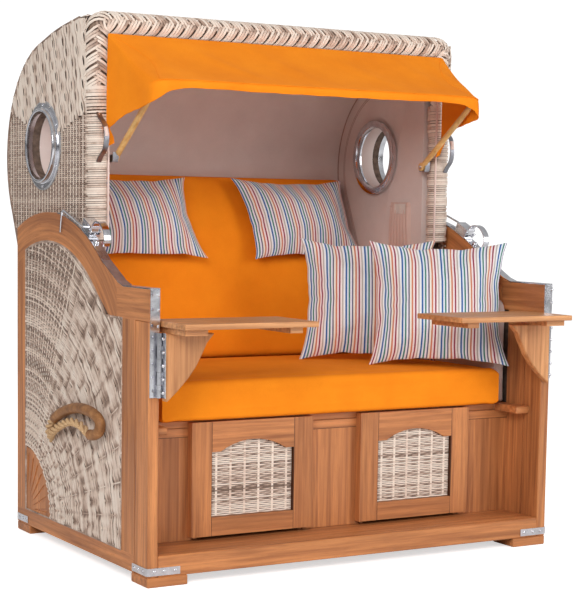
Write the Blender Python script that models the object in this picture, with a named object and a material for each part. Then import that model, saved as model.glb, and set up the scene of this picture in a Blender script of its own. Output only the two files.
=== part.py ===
"""Two-seat hooded beach chair: a teak and wicker base, a hood that reclines on it, and its fittings.

Metres, +Z up, +Y to the back. Every outline is drawn from the front face of the base, and the
chair is then centred on its own depth, so the origin is on the floor under its middle.
"""

import math

import bmesh
import bpy
from mathutils import Matrix, Vector

GAP = 0.0003
OVERRUN = 0.020
SINK = 0.004
EASE = 0.0025

# Base: two teak side frames, joined by sill, deck, box front, seat and back.
WIDTH = 1.250
DEPTH = 0.871
FRAME_THICK = 0.029
ARM_TOP = 0.739
ARM_DEEP = 0.079
ARM_FLAT = 0.156
POST_WIDE = 0.078
STILE_WIDE = 0.078
REAR_STILE_WIDE = 0.065
RAIL_TOP = 0.070
FOOT_HIGH = 0.025
FOOT_WIDE = 0.112
FOOT_DEEP = 0.095
SILL_TOP = 0.078
SILL_THICK = 0.028
DECK_THICK = 0.018
WICKER_THICK = 0.0118
WICKER_INSET = 0.003
SUNRAY_RADIUS = 0.180
SUNRAY_THICK = 0.020
SUNRAY_INSET = 0.002
SUNRAYS = 7
RAY_DEEP = 0.003
RAY_WIDE = 0.012
RAY_NEAR_SHARE = 0.30
RAY_WIDEST_SHARE = 0.86
RAY_FAR_SHARE = 0.93
PIVOT_RAIL_HIGH = 0.060
PIVOT_RAIL_THICK = 0.0135

# The hood turns on two stub axles, and the arch of each side frame is drawn round them.
PIVOT_Y = 0.642
PIVOT_Z = 0.345
AXLE_RADIUS = 0.009
ARCH_RADIUS = 0.575
ARCH_BAND = 0.080
ARCH_START_DEG = 128.0
ARCH_STEP_DEG = 4.0
SLOPE_FOOT = 0.190
SLOPE_LIFT = 0.010

# Box under the seat, with two pull-out footrests.
BOX_FRONT = 0.151
BOX_WALL = 0.018
SEAT_BOARD_TOP = 0.392
SEAT_BOARD_THICK = 0.020
SEAT_BOARD_REAR = 0.735
SEAT_NOTCH_FRONT = 0.500
SEAT_NOTCH_DEEP = 0.0557
LEDGE_FRONT = 0.048
LEDGE_WIDE = 0.047
BACK_TOP = 0.280
BACK_THICK = 0.012
FOOTREST_CENTRE = 0.258
FOOTREST_WIDE = 0.364
FOOTREST_BOTTOM = 0.088
FOOTREST_TOP = 0.388
FOOTREST_FACE_THICK = 0.0245
FOOTREST_BOX_WIDE = 0.330
FOOTREST_BOX_DEEP = 0.450
FOOTREST_BOX_TOP = 0.345
FOOTREST_BOARD = 0.012
FOOTREST_RUNNING = 0.003
WINDOW_WIDE = 0.247
WINDOW_BOTTOM = 0.137
WINDOW_SHOULDER = 0.309
WINDOW_CROWN = 0.337
WINDOW_SHOULDER_WIDE = 0.026
WINDOW_INSERT_THICK = 0.008

# Upholstery of the base.
PAD_THICK = 0.044
PAD_FRONT = 0.165
PAD_TOP = 0.690
PAD_CORNER = 0.035
PAD_REAR_TOP = 0.512
PAD_REAR_FOOT = 0.566
SEAT_SIDE_ROOM = 0.0187
SEAT_FRONT = 0.112
SEAT_REAR = 0.733
SEAT_THICK = 0.104
SEAT_CROWN = 0.010

# Loose square pillows on the seat.
PILLOW_WIDE = 0.395
PILLOW_HIGH = 0.358
PILLOW_THICK = 0.110
PILLOW_TURN_DEG = -29.0
PILLOW_LEAN_DEG = 14.0
PILLOW_NEAR = (0.368, 0.188)
PILLOW_FAR = (0.255, 0.385)

# Hood: side walls, back and roof of wicker over an upholstered lining.
HOOD_CLEAR = 0.006
HOOD_WALL = 0.022
LINING_WALL = 0.022
LINING_SIDE = 0.0427
HOOD_REAR_CENTRE = (0.7065, 1.0725)
HOOD_REAR_RADIUS = 0.321
HOOD_REAR_START_DEG = -30.0
HOOD_REAR_END_DEG = 73.0
HOOD_SKIRT_RADIUS = 0.212
HOOD_SKIRT_END_DEG = -22.0
HOOD_SKIRT_START_DEG = 29.3
HOOD_BACK_LOW = (0.868, 0.600)
HOOD_BACK_HIGH = (0.918, 0.760)
ROOF_MIDDLE = (0.658, 1.414)
ROOF_FRONT_Z = 1.436
HOOD_DISC = 0.057
RIM_RADIUS = 0.032
RIM_Y = 0.472
RIM_SET_IN = 0.033
RIM_TOP = 1.428
RIM_HIGH = 0.583
RIM_CORNER = 0.045
LINING_BOTTOM = 0.512
PORTHOLE_Y = 0.752
PORTHOLE_OVER_ARCH = 0.064
PORTHOLE_BORE = 0.087
PORTHOLE_TUBE = 0.093
PORTHOLE_FLANGE = 0.120
PORTHOLE_COLLAR = 0.102
PORTHOLE_PLATE = 0.004
PORTHOLE_PROUD = 0.020
GRIP_Z = 1.100
GRIP_HIGH = 0.070
GRIP_REACH = 0.034
GRIP_RADIUS = 0.0055
POCKET_FRONT = 0.555
POCKET_REAR = 0.675
POCKET_UNDER_PORTHOLE = 0.019
POCKET_HIGH = 0.175
POCKET_THICK = 0.010
POCKET_WALL = 0.0025
BACK_CUSHION_SIDE_ROOM = 0.0203
BACK_CUSHION_LOW = 0.480
BACK_CUSHION_HIGH = 1.029
BACK_CUSHION_THICK = 0.058
BACK_CUSHION_REST = 0.0015
HEAD_PILLOW_WIDE = 0.430
HEAD_PILLOW_HIGH = 0.262
HEAD_PILLOW_THICK = 0.100
HEAD_PILLOW_X = 0.290
HEAD_PILLOW_Z = 0.864

# Sun blind: a bent wooden bow on two pins, with cloth from the hood's rim to the bow.
BOW_PIVOT_UNDER_RIM = 0.3575
BOW_FRONT_Y = 0.216
BOW_FRONT_UNDER_RIM = 0.185
BOW_SET_IN = 0.057
BOW_ROOT_SHARE = 0.8
BOW_RADIUS = 0.009
BOW_CORNER = 0.050
BOW_PIN = 0.004
BOW_EYE = 0.012
BOW_EYE_THICK = 0.019
BLIND_THICK = 0.003
BLIND_POST_UNDER_RIM = 0.278
BLIND_CLEAR = 0.0022
BLIND_SAG = 0.012
BLIND_DROP = 0.026
BLIND_DROP_OUT = 0.0006
BLIND_FLAP_MIDDLE_Y = 0.340
BLIND_FLAP_MIDDLE_UNDER_RIM = 0.270
BLIND_FLAP_FRONT_Y = 0.236
BLIND_FLAP_FRONT_UNDER_RIM = 0.244

# Steel fittings.
STRAP_THICK = 0.0025
STRAP_BOTTOM = 0.030
STRAP_HIGH = 0.020
STRAP_LONG = 0.115
STRAP_SIDE = 0.085
ARM_STRAP_THICK = 0.003
ARM_STRAP_WIDE = 0.026
ARM_STRAP_END_DEG = 96.0
HINGE_LOW = 0.474
HINGE_HIGH = 0.634
HINGE_X = 0.603
HINGE_OUT = 0.0125
KNUCKLE_RADIUS = 0.0062
HINGE_PIN = 0.0028
KNUCKLES = 5
LEAF_THICK = 0.0025
LATCH_DEG = 115.0
LATCH_LONG = 0.052
LATCH_HIGH = 0.030
LATCH_WIRE = 0.003
LATCH_WIRE_BACK_DEG = 101.0
LATCH_WIRE_DROP = 0.062
LATCH_BOW_LONG = 0.066
LATCH_BOW_WIDE = 0.022
LATCH_BOW_RADIUS = 0.004
LATCH_RISE_DEG = 14.0
LATCH_SLOT_SHARE = 2.2
LATCH_BARREL_SHARE = 1.6
LATCH_ROOT = 0.012
LATCH_TURN_DEG = 1.0

# Swinging side tables.
TABLE_OFF_HINGE = 0.011
TABLE_INNER = 0.220
TABLE_FRONT = 0.130
TABLE_REAR = 0.077
TABLE_TOP = 0.6615
TABLE_THICK = 0.014
CLEAT_HIGH = 0.0155
CLEAT_INNER_WIDE = 0.037
CLEAT_INNER_X = 0.254
CLEAT_OUTER_WIDE = 0.072
CLEAT_MARGIN = 0.020
BRACKET_HIGH = 0.167
BRACKET_LONG = 0.132
BRACKET_THICK = 0.025
BRACKET_FRONT = 0.035

# Rope handle of each side.
ROPE_RADIUS = 0.011
ROPE_REACH = 0.030
ROPE_FRONT = (0.300, 0.385)
ROPE_CROWN = (0.455, 0.412)
ROPE_REAR = (0.690, 0.315)

HALF = WIDTH / 2
FRAME_INNER = HALF - FRAME_THICK
BETWEEN = FRAME_INNER - GAP
ARM_UNDER = ARM_TOP - ARM_DEEP
SEAT_WIDE = 2 * (BETWEEN - PAD_THICK - SEAT_SIDE_ROOM)
HOOD_HALF = FRAME_INNER - HOOD_CLEAR
BACK_CUSHION_HALF = HOOD_HALF - HOOD_WALL - LINING_SIDE - BACK_CUSHION_SIDE_ROOM
RIM_HALF = HOOD_HALF - RIM_SET_IN
BOW_HALF = RIM_HALF - BOW_SET_IN
PORTHOLE_Z = PIVOT_Z + ARCH_RADIUS + PORTHOLE_FLANGE + PORTHOLE_OVER_ARCH
POCKET_TOP = PORTHOLE_Z - PORTHOLE_FLANGE - POCKET_UNDER_PORTHOLE
POCKET_BOTTOM = POCKET_TOP - POCKET_HIGH
RIM_BOTTOM = RIM_TOP - RIM_HIGH
BOW_PIVOT_Z = RIM_TOP - BOW_PIVOT_UNDER_RIM
BOW_FRONT_Z = RIM_TOP - BOW_FRONT_UNDER_RIM
BLIND_POST_LOW = RIM_TOP - BLIND_POST_UNDER_RIM
BLIND_FLAP_MIDDLE = (BLIND_FLAP_MIDDLE_Y, RIM_TOP - BLIND_FLAP_MIDDLE_UNDER_RIM)
BLIND_FLAP_FRONT = (BLIND_FLAP_FRONT_Y, RIM_TOP - BLIND_FLAP_FRONT_UNDER_RIM)
SEAT_NOTCH_HALF = BETWEEN - SEAT_NOTCH_DEEP
TABLE_OUTER = HINGE_X - TABLE_OFF_HINGE
HOOD_REAR = HOOD_REAR_CENTRE[0] + HOOD_REAR_RADIUS
MIDDLE_Y = (HOOD_REAR - TABLE_FRONT) / 2
RIM_FRONT = RIM_Y - RIM_RADIUS
RIM_BACK = RIM_Y + RIM_RADIUS
WALL_FRONT = RIM_BACK + GAP

for thing in list(bpy.data.objects):
    bpy.data.objects.remove(thing, do_unlink=True)


def make_material(name, colour, roughness, metallic=0.0):
    """One Principled material in the colour that the piece has."""
    made = bpy.data.materials.new(name)
    made.use_nodes = True
    shader = made.node_tree.nodes["Principled BSDF"]
    shader.inputs["Base Color"].default_value = (*colour, 1.0)
    shader.inputs["Roughness"].default_value = roughness
    shader.inputs["Metallic"].default_value = metallic
    return made


FINISH = {
    "teak": ((0.47, 0.21, 0.09), 0.55, 0.0),
    "wicker": ((0.62, 0.50, 0.38), 0.65, 0.0),
    "steel": ((0.72, 0.72, 0.74), 0.18, 1.0),
    "orange_cloth": ((0.80, 0.30, 0.02), 0.85, 0.0),
    "lining_cloth": ((0.42, 0.30, 0.26), 0.85, 0.0),
    "striped_cloth": ((0.62, 0.55, 0.62), 0.85, 0.0),
    "bow_wood": ((0.72, 0.50, 0.28), 0.50, 0.0),
    "rope": ((0.45, 0.26, 0.11), 0.90, 0.0),
    "pocket_cloth": ((0.50, 0.38, 0.33), 0.85, 0.0),
}

# Each moving body has an empty on its joint's axis, placed like the pieces from the front face.
AXES = {
    "base": (0.0, 0.0, 0.0),
    "hood": (0.0, PIVOT_Y, PIVOT_Z),
    "bow": (0.0, RIM_Y, BOW_PIVOT_Z),
    "footrest_left": (-FOOTREST_CENTRE, BOX_FRONT, FOOTREST_BOTTOM),
    "footrest_right": (FOOTREST_CENTRE, BOX_FRONT, FOOTREST_BOTTOM),
    "table_left": (-HINGE_X, -HINGE_OUT, HINGE_LOW),
    "table_right": (HINGE_X, -HINGE_OUT, HINGE_LOW),
}


def polar(centre, radius, degrees):
    """The point at this angle, counted from +Y towards +Z."""
    turn = math.radians(degrees)
    return (centre[0] + radius * math.cos(turn), centre[1] + radius * math.sin(turn))


def arc(centre, radius, start, end, steps):
    """Points along an arc, both ends included."""
    return [polar(centre, radius, start + (end - start) * i / steps) for i in range(steps + 1)]


PIVOT = (PIVOT_Y, PIVOT_Z)
LATCH_RADIUS = ARCH_RADIUS + ARM_STRAP_THICK + 3 * GAP
LATCH_HALF_TURN = math.degrees(LATCH_LONG / LATCH_RADIUS) / 2
LATCH_PIN = polar(PIVOT, LATCH_RADIUS + LATCH_HIGH / 2, LATCH_DEG + LATCH_HALF_TURN)
AXES["latch_left"] = (-HALF, *LATCH_PIN)
AXES["latch_right"] = (HALF, *LATCH_PIN)


def make_axes():
    """The empties: the base carries the rest, and the hood carries the bow and the two latches."""
    made = {}
    for name, place in AXES.items():
        empty = bpy.data.objects.new(name + "_axis", None)
        bpy.context.scene.collection.objects.link(empty)
        carrier = None
        if name != "base":
            carrier = "hood" if name in ("bow", "latch_left", "latch_right") else "base"
            empty.parent = made[carrier]
        start = Vector(AXES[carrier]) if carrier else Vector((0.0, MIDDLE_Y, 0.0))
        empty.location = Vector(place) - start
        made[name] = empty
    return made


MATERIALS = {name: make_material(name, *look) for name, look in FINISH.items()}
EMPTIES = make_axes()


def place(name, shape, finish, body="base", bevel=0.0, smooth_deg=35.0):
    """Turns a bmesh into a named object of one body, with its edges eased if they are."""
    bmesh.ops.recalc_face_normals(shape, faces=shape.faces)
    if shape.calc_volume(signed=True) < 0:
        bmesh.ops.reverse_faces(shape, faces=shape.faces)
    mesh = bpy.data.meshes.new(name)
    shape.to_mesh(mesh)
    shape.free()
    mesh.shade_smooth()
    mesh.set_sharp_from_angle(angle=math.radians(smooth_deg))
    mesh.materials.append(MATERIALS[finish])
    made = bpy.data.objects.new(name, mesh)
    bpy.context.scene.collection.objects.link(made)
    made.parent = EMPTIES[body]
    made.location = -Vector(AXES[body])
    if bevel:
        eased = made.modifiers.new("eased edges", "BEVEL")
        eased.width = bevel
        eased.segments = 1
        eased.limit_method = "ANGLE"
        eased.angle_limit = math.radians(50.0)
    return made


def prism(outline, low, high, axis):
    """An outline pulled along one axis: (y, z) along x, (x, z) along y, or (x, y) along z."""
    shape = bmesh.new()
    low, high = min(low, high), max(low, high)
    slot = "xyz".index(axis)
    corners = []
    for point in outline:
        at = list(point)
        at.insert(slot, low)
        corners.append(shape.verts.new(at))
    face = shape.faces.new(corners)
    pulled = bmesh.ops.extrude_face_region(shape, geom=[face])["geom"]
    step = Vector([high - low if i == slot else 0.0 for i in range(3)])
    bmesh.ops.translate(shape, verts=[v for v in pulled if isinstance(v, bmesh.types.BMVert)], vec=step)
    bmesh.ops.recalc_face_normals(shape, faces=shape.faces)
    return shape


def box(x, y, z):
    """A block between two corners, given as three (low, high) pairs."""
    return prism([(y[0], z[0]), (y[1], z[0]), (y[1], z[1]), (y[0], z[1])], x[0], x[1], "x")


def rod(axis, centre, radius, low, high, sides):
    """A round bar along one axis, through the centre given in the other two."""
    ring = [(centre[0] + radius * math.cos(math.tau * i / sides),
             centre[1] + radius * math.sin(math.tau * i / sides)) for i in range(sides)]
    return prism(ring, low, high, axis)


def combine(base, tool, operation):
    """A Boolean of two shapes. Both are used up."""
    things = []
    for shape in (base, tool):
        bmesh.ops.recalc_face_normals(shape, faces=shape.faces)
        mesh = bpy.data.meshes.new("working")
        shape.to_mesh(mesh)
        shape.free()
        thing = bpy.data.objects.new("working", mesh)
        bpy.context.scene.collection.objects.link(thing)
        things.append(thing)
    cut = things[0].modifiers.new("cut", "BOOLEAN")
    cut.operation = operation
    cut.solver = "EXACT"
    cut.object = things[1]
    graph = bpy.context.evaluated_depsgraph_get()
    result = bmesh.new()
    result.from_mesh(things[0].evaluated_get(graph).to_mesh())
    for thing in things:
        mesh = thing.data
        bpy.data.objects.remove(thing, do_unlink=True)
        bpy.data.meshes.remove(mesh)
    return result


def cut(base, tool):
    """What is left of the first shape outside the second."""
    return combine(base, tool, "DIFFERENCE")


def join(base, tool):
    """Both shapes as one."""
    return combine(base, tool, "UNION")


def tube(points, radius, sides):
    """A round bar that follows a list of points, with flat ends square to its run."""
    shape = bmesh.new()
    points = [Vector(p) for p in points]
    runs = [(b - a).normalized() for a, b in zip(points, points[1:])]
    ways = [runs[0]] + [(a + b).normalized() for a, b in zip(runs, runs[1:])] + [runs[-1]]
    side = ways[0].orthogonal().normalized()
    rings = []
    for at, way in zip(points, ways):
        side = (side - way * side.dot(way)).normalized()
        other = way.cross(side)
        turns = [math.tau * i / sides for i in range(sides)]
        rings.append([shape.verts.new(at + radius * (math.cos(turn) * side + math.sin(turn) * other))
                      for turn in turns])
    for first, second in zip(rings, rings[1:]):
        for i in range(sides):
            j = (i + 1) % sides
            shape.faces.new((first[i], first[j], second[j], second[i]))
    shape.faces.new(rings[0])
    shape.faces.new(rings[-1])
    bmesh.ops.recalc_face_normals(shape, faces=shape.faces)
    return shape


def smooth_path(points, steps):
    """A Catmull-Rom curve through all of the points."""
    points = [Vector(p) for p in points]
    ends = [2 * points[0] - points[1], *points, 2 * points[-1] - points[-2]]
    path = []
    for a, b, c, d in zip(ends, ends[1:], ends[2:], ends[3:]):
        for i in range(steps):
            t = i / steps
            path.append((2 * b + (c - a) * t + (2 * a - 5 * b + 4 * c - d) * t**2
                         + (3 * b - a - 3 * c + d) * t**3) / 2)
    path.append(points[-1])
    return path


def offset(path, distance):
    """A flat path moved sideways, to its left seen along it."""
    points = [Vector(p) for p in path]
    moved = []
    for i, at in enumerate(points):
        before = (at - points[i - 1]).normalized() if i else (points[1] - at).normalized()
        after = (points[i + 1] - at).normalized() if i + 1 < len(points) else before
        left_before = Vector((-before.y, before.x))
        left_after = Vector((-after.y, after.x))
        middle = (left_before + left_after).normalized()
        moved.append(tuple(at + middle * distance / max(middle.dot(left_before), 0.5)))
    return moved


def ring_solid(profile, centre, steps, side):
    """A closed profile of (radius, x) turned round an axis along X."""
    shape = bmesh.new()
    rings = []
    for i in range(steps):
        turn = math.tau * i / steps
        rings.append([shape.verts.new((side * x, centre[0] + r * math.cos(turn),
                                       centre[1] + r * math.sin(turn))) for r, x in profile])
    for i in range(steps):
        first, second = rings[i], rings[(i + 1) % steps]
        for j in range(len(profile)):
            k = (j + 1) % len(profile)
            shape.faces.new((first[j], first[k], second[k], second[j]))
    bmesh.ops.recalc_face_normals(shape, faces=shape.faces)
    return shape


def spread(count, power=1.0):
    """Values from -1 to 1, closer together near both ends when the power is over 1."""
    steps = [2 * i / count - 1 for i in range(count + 1)]
    return [math.copysign(1 - (1 - abs(t)) ** power, t) for t in steps]


def two_sheets(columns, rows, top, bottom):
    """A closed soft form of two sheets that share their border."""
    shape = bmesh.new()
    sheets = []
    for sheet in (top, bottom):
        grid = []
        for i, u in enumerate(columns):
            line = []
            for j, v in enumerate(rows):
                border = i in (0, len(columns) - 1) or j in (0, len(rows) - 1)
                if border and sheets:
                    line.append(sheets[0][i][j])
                else:
                    line.append(shape.verts.new(sheet(u, v)))
            grid.append(line)
        sheets.append(grid)
        for i in range(len(columns) - 1):
            for j in range(len(rows) - 1):
                shape.faces.new((grid[i][j], grid[i + 1][j], grid[i + 1][j + 1], grid[i][j + 1]))
    bmesh.ops.recalc_face_normals(shape, faces=shape.faces)
    return shape


def knife_pillow(wide, high, thick, steps=10):
    """A pillow with sharp seams, sides drawn in between its corners, and a full middle."""
    draw_share = 0.07
    fall_share = 0.42

    def at(u, v, way):
        x = u * wide / 2 * (1 - draw_share * u * u * (1 - v * v))
        y = v * high / 2 * (1 - draw_share * v * v * (1 - u * u))
        swell = max((1 - u * u) * (1 - v * v), 0.0) ** fall_share
        return Vector((x, y, way * thick / 2 * swell))

    values = spread(steps, 1.5)
    return two_sheets(values, values, lambda u, v: at(u, v, 1), lambda u, v: at(u, v, -1))


def box_cushion(half_x, low_y, high_y, low_z, thick, crown, columns, rows):
    """A boxed cushion: flat underside, crowned top and soft upright sides."""
    edge_share = 0.16
    edge_power = 12

    def plan(u, v):
        return (u * half_x, (low_y + high_y) / 2 + v * (high_y - low_y) / 2)

    def fall(u, v):
        return (max(1 - u**edge_power, 0.0) * max(1 - v**edge_power, 0.0)) ** edge_share

    def top(u, v):
        dome = crown * (1 - u * u) * (1 - v * v)
        return (*plan(u, v), low_z + thick / 2 + (thick / 2 + dome) * fall(u, v))

    def bottom(u, v):
        return (*plan(u, v), low_z + thick / 2 * (1 - fall(u, v)))

    return two_sheets(spread(columns, 2.2), spread(rows, 2.2), top, bottom)


def mirrored_pairs(build):
    """Runs a builder for the left side, at -X, and the right side."""
    for side, name in ((-1, "left"), (1, "right")):
        build(side, name)


ARCH_INNER = ARCH_RADIUS - ARCH_BAND
REAR_INNER = DEPTH - REAR_STILE_WIDE
FRAME_FLOOR = FOOT_HIGH + GAP


def angle_at(radius, y):
    """The angle at which an arch of this radius stands over y, behind the pivot."""
    return math.degrees(math.acos((y - PIVOT_Y) / radius))


def arm_line():
    """The upper edge of a side frame, from the front of the arm up to the start of the arch."""
    return [(0.0, ARM_TOP), (ARM_FLAT, ARM_TOP), (SLOPE_FOOT, ARM_TOP + SLOPE_LIFT),
            polar(PIVOT, ARCH_RADIUS, ARCH_START_DEG)]


def arch(radius, low_deg):
    """An arch round the hood's axles, from a low angle up to the foot of the slope, in even facets."""
    steps = math.ceil((ARCH_START_DEG - low_deg) / ARCH_STEP_DEG)
    turns = [ARCH_START_DEG - i * ARCH_STEP_DEG for i in range(steps)]
    return [polar(PIVOT, radius, turn) for turn in (low_deg, *reversed(turns))]


def window_line(inset):
    """The opening of a side frame, drawn in by the inset: sill, back, arch, slope, arm and stile."""
    low_y, high_y = POST_WIDE + STILE_WIDE + inset, REAR_INNER - inset
    radius = ARCH_INNER - inset
    slope_y = ARM_FLAT + POST_WIDE + inset
    return [(low_y, RAIL_TOP + inset), (high_y, RAIL_TOP + inset),
            *arch(radius, angle_at(radius, high_y)),
            (slope_y, ARM_UNDER - inset), (low_y, ARM_UNDER - inset)]


def side_frame(side, name):
    """Arm and arch rail, stiles and bottom rail as one jointed frame, with the pivot rail inside it."""
    line = [(POST_WIDE + GAP, FRAME_FLOOR), (DEPTH, FRAME_FLOOR),
            *arch(ARCH_RADIUS, angle_at(ARCH_RADIUS, DEPTH)),
            *reversed(arm_line()[:-1]), (0.0, ARM_UNDER + GAP), (POST_WIDE + GAP, ARM_UNDER + GAP)]
    frame = prism(line, side * FRAME_INNER, side * HALF, "x")
    frame = cut(frame, prism(window_line(0.0), side * (FRAME_INNER - OVERRUN), side * (HALF + OVERRUN), "x"))
    rail = box((side * FRAME_INNER, side * (FRAME_INNER + PIVOT_RAIL_THICK))[::side],
               (POST_WIDE + STILE_WIDE - SINK, REAR_INNER + SINK),
               (PIVOT_Z - PIVOT_RAIL_HIGH / 2, PIVOT_Z + PIVOT_RAIL_HIGH / 2))
    frame = join(frame, rail)
    hole = rod("x", PIVOT, AXLE_RADIUS, side * (FRAME_INNER - OVERRUN), side * (HALF - WICKER_INSET), 16)
    frame = cut(frame, hole)
    place("side_frame_" + name, frame, "teak")


def front_post(side, name):
    """Upright front plank of the side."""
    post = box((side * FRAME_INNER, side * HALF)[::side], (0.0, POST_WIDE), (FRAME_FLOOR, ARM_UNDER))
    place("front_post_" + name, post, "teak", bevel=EASE)


def sunray_corner(side, name):
    """Quarter-round corner block, carved with rays from its own corner."""
    corner = (REAR_INNER - GAP, RAIL_TOP + GAP)
    radius = SUNRAY_RADIUS - 3 * GAP
    outer = HALF - SUNRAY_INSET
    quarter = [corner, *arc(corner, radius, 90.0, 180.0, 12)]
    block = prism(quarter, side * (outer - SUNRAY_THICK), side * outer, "x")
    for i in range(SUNRAYS):
        turn = 90.0 + 90.0 * (i + 0.5) / SUNRAYS
        widest = Vector(polar(corner, radius * RAY_WIDEST_SHARE, turn))
        across = Vector(polar((0.0, 0.0), RAY_WIDE / 2, turn + 90.0))
        shape = [polar(corner, radius * RAY_NEAR_SHARE, turn), tuple(widest + across),
                 polar(corner, radius * RAY_FAR_SHARE, turn), tuple(widest - across)]
        block = cut(block, prism(shape, side * (outer - RAY_DEEP), side * (outer + OVERRUN), "x"))
    place("sunray_corner_" + name, block, "teak")


def side_wicker(side, name):
    """Woven infill: a panel with stakes that fan out from the carved corner."""
    inset = GAP
    line = window_line(inset)
    corner = (REAR_INNER, RAIL_TOP)
    outer = HALF - WICKER_INSET
    inner = outer - WICKER_THICK
    panel = prism(line, side * inner, side * outer, "x")
    bite = [(corner[0] + OVERRUN, corner[1] - OVERRUN), (corner[0] + OVERRUN, corner[1] + SUNRAY_RADIUS),
            *arc(corner, SUNRAY_RADIUS, 90.0, 180.0, 12), (corner[0] - SUNRAY_RADIUS, corner[1] - OVERRUN)]
    panel = cut(panel, prism(bite, side * (inner - OVERRUN), side * (outer + OVERRUN), "x"))
    place("side_wicker_" + name, panel, "wicker")


def feet_and_straps(side, name):
    """A block foot under each corner, and a steel strap bent round the frame above it."""
    x = (side * (HALF - FOOT_WIDE), side * HALF)[::side]
    for end, low, high in (("front", 0.0, FOOT_DEEP), ("rear", DEPTH - FOOT_DEEP, DEPTH)):
        foot = box(x, (low, high), (0.0, FOOT_HIGH))
        place("foot_" + end + "_" + name, foot, "teak", bevel=EASE)
        reach = GAP + STRAP_THICK
        way = -1 if end == "front" else 1
        face = 0.0 if end == "front" else DEPTH
        outline = [(HALF - STRAP_LONG, face + way * GAP), (HALF + GAP, face + way * GAP),
                   (HALF + GAP, face - way * STRAP_SIDE), (HALF + reach, face - way * STRAP_SIDE),
                   (HALF + reach, face + way * reach), (HALF - STRAP_LONG, face + way * reach)]
        strap = prism([(side * a, b) for a, b in outline], STRAP_BOTTOM, STRAP_BOTTOM + STRAP_HIGH, "z")
        place("corner_strap_" + end + "_" + name, strap, "steel")


def knuckle_spans(fixed):
    """The heights of the hinge's knuckles: the fixed leaf has every second one, from the bottom."""
    pitch = (HINGE_HIGH - HINGE_LOW) / KNUCKLES
    first = 0 if fixed else 1
    lows = [HINGE_LOW + i * pitch for i in range(first, KNUCKLES, 2)]
    return [(low + GAP, low + pitch - GAP) for low in lows]


def arm_strap(side, name):
    """Steel band from the table hinge up the post, over the arm and along the arch."""
    line = [(0.0, HINGE_LOW), (0.0, (HINGE_LOW + ARM_TOP) / 2), *arm_line(),
            *reversed(arch(ARCH_RADIUS, ARM_STRAP_END_DEG)[:-1])]
    inner = offset(line, GAP)
    outer = offset(line, GAP + ARM_STRAP_THICK)
    middle = (HALF + FRAME_INNER) / 2
    band = prism([*inner, *reversed(outer)], side * (middle - ARM_STRAP_WIDE / 2),
                 side * (middle + ARM_STRAP_WIDE / 2), "x")
    for low, high in knuckle_spans(True):
        web = box((side * (HINGE_X - KNUCKLE_RADIUS / 2), side * (HINGE_X + KNUCKLE_RADIUS / 2))[::side],
                  (-HINGE_OUT, -GAP - ARM_STRAP_THICK / 2), (low, high))
        band = join(band, web)
        band = join(band, rod("z", (side * HINGE_X, -HINGE_OUT), KNUCKLE_RADIUS, low, high, 12))
    pin = rod("z", (side * HINGE_X, -HINGE_OUT), HINGE_PIN, HINGE_LOW + SINK, HINGE_HIGH - SINK, 10)
    place("arm_strap_" + name, join(band, pin), "steel")


def base_boards():
    """Sill, deck, box front, seat board and back, which hold the two sides apart."""
    sill = box((-BETWEEN, BETWEEN), (0.0, SILL_THICK), (FRAME_FLOOR, SILL_TOP))
    place("front_sill", sill, "teak", bevel=EASE)
    back_face = DEPTH - BACK_THICK
    deck = box((-BETWEEN, BETWEEN), (SILL_THICK + GAP, back_face - GAP), (SILL_TOP - DECK_THICK, SILL_TOP))
    place("base_deck", deck, "teak")
    under_seat = SEAT_BOARD_TOP - SEAT_BOARD_THICK
    front = box((-BETWEEN, BETWEEN), (BOX_FRONT, BOX_FRONT + BOX_WALL), (SILL_TOP + GAP, under_seat - GAP))
    for side in (-1, 1):
        mouth = FOOTREST_BOX_WIDE / 2 + FOOTREST_RUNNING
        middle = side * FOOTREST_CENTRE
        front = cut(front, box((middle - mouth, middle + mouth),
                               (BOX_FRONT - OVERRUN, BOX_FRONT + BOX_WALL + OVERRUN),
                               (SILL_TOP - OVERRUN, FOOTREST_BOX_TOP + FOOTREST_RUNNING)))
    place("box_front", front, "teak")
    ledge = BETWEEN - LEDGE_WIDE
    half_line = [(ledge, BOX_FRONT), (ledge, LEDGE_FRONT), (BETWEEN, LEDGE_FRONT),
                 (BETWEEN, SEAT_NOTCH_FRONT), (SEAT_NOTCH_HALF, SEAT_NOTCH_FRONT),
                 (SEAT_NOTCH_HALF, SEAT_BOARD_REAR)]
    line = [*half_line, *[(-x, y) for x, y in reversed(half_line)]]
    place("seat_board", prism(line, under_seat, SEAT_BOARD_TOP, "z"), "teak", bevel=EASE)
    back = box((-BETWEEN, BETWEEN), (back_face, DEPTH), (FRAME_FLOOR, BACK_TOP))
    place("back_panel", back, "teak", bevel=EASE)


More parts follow.
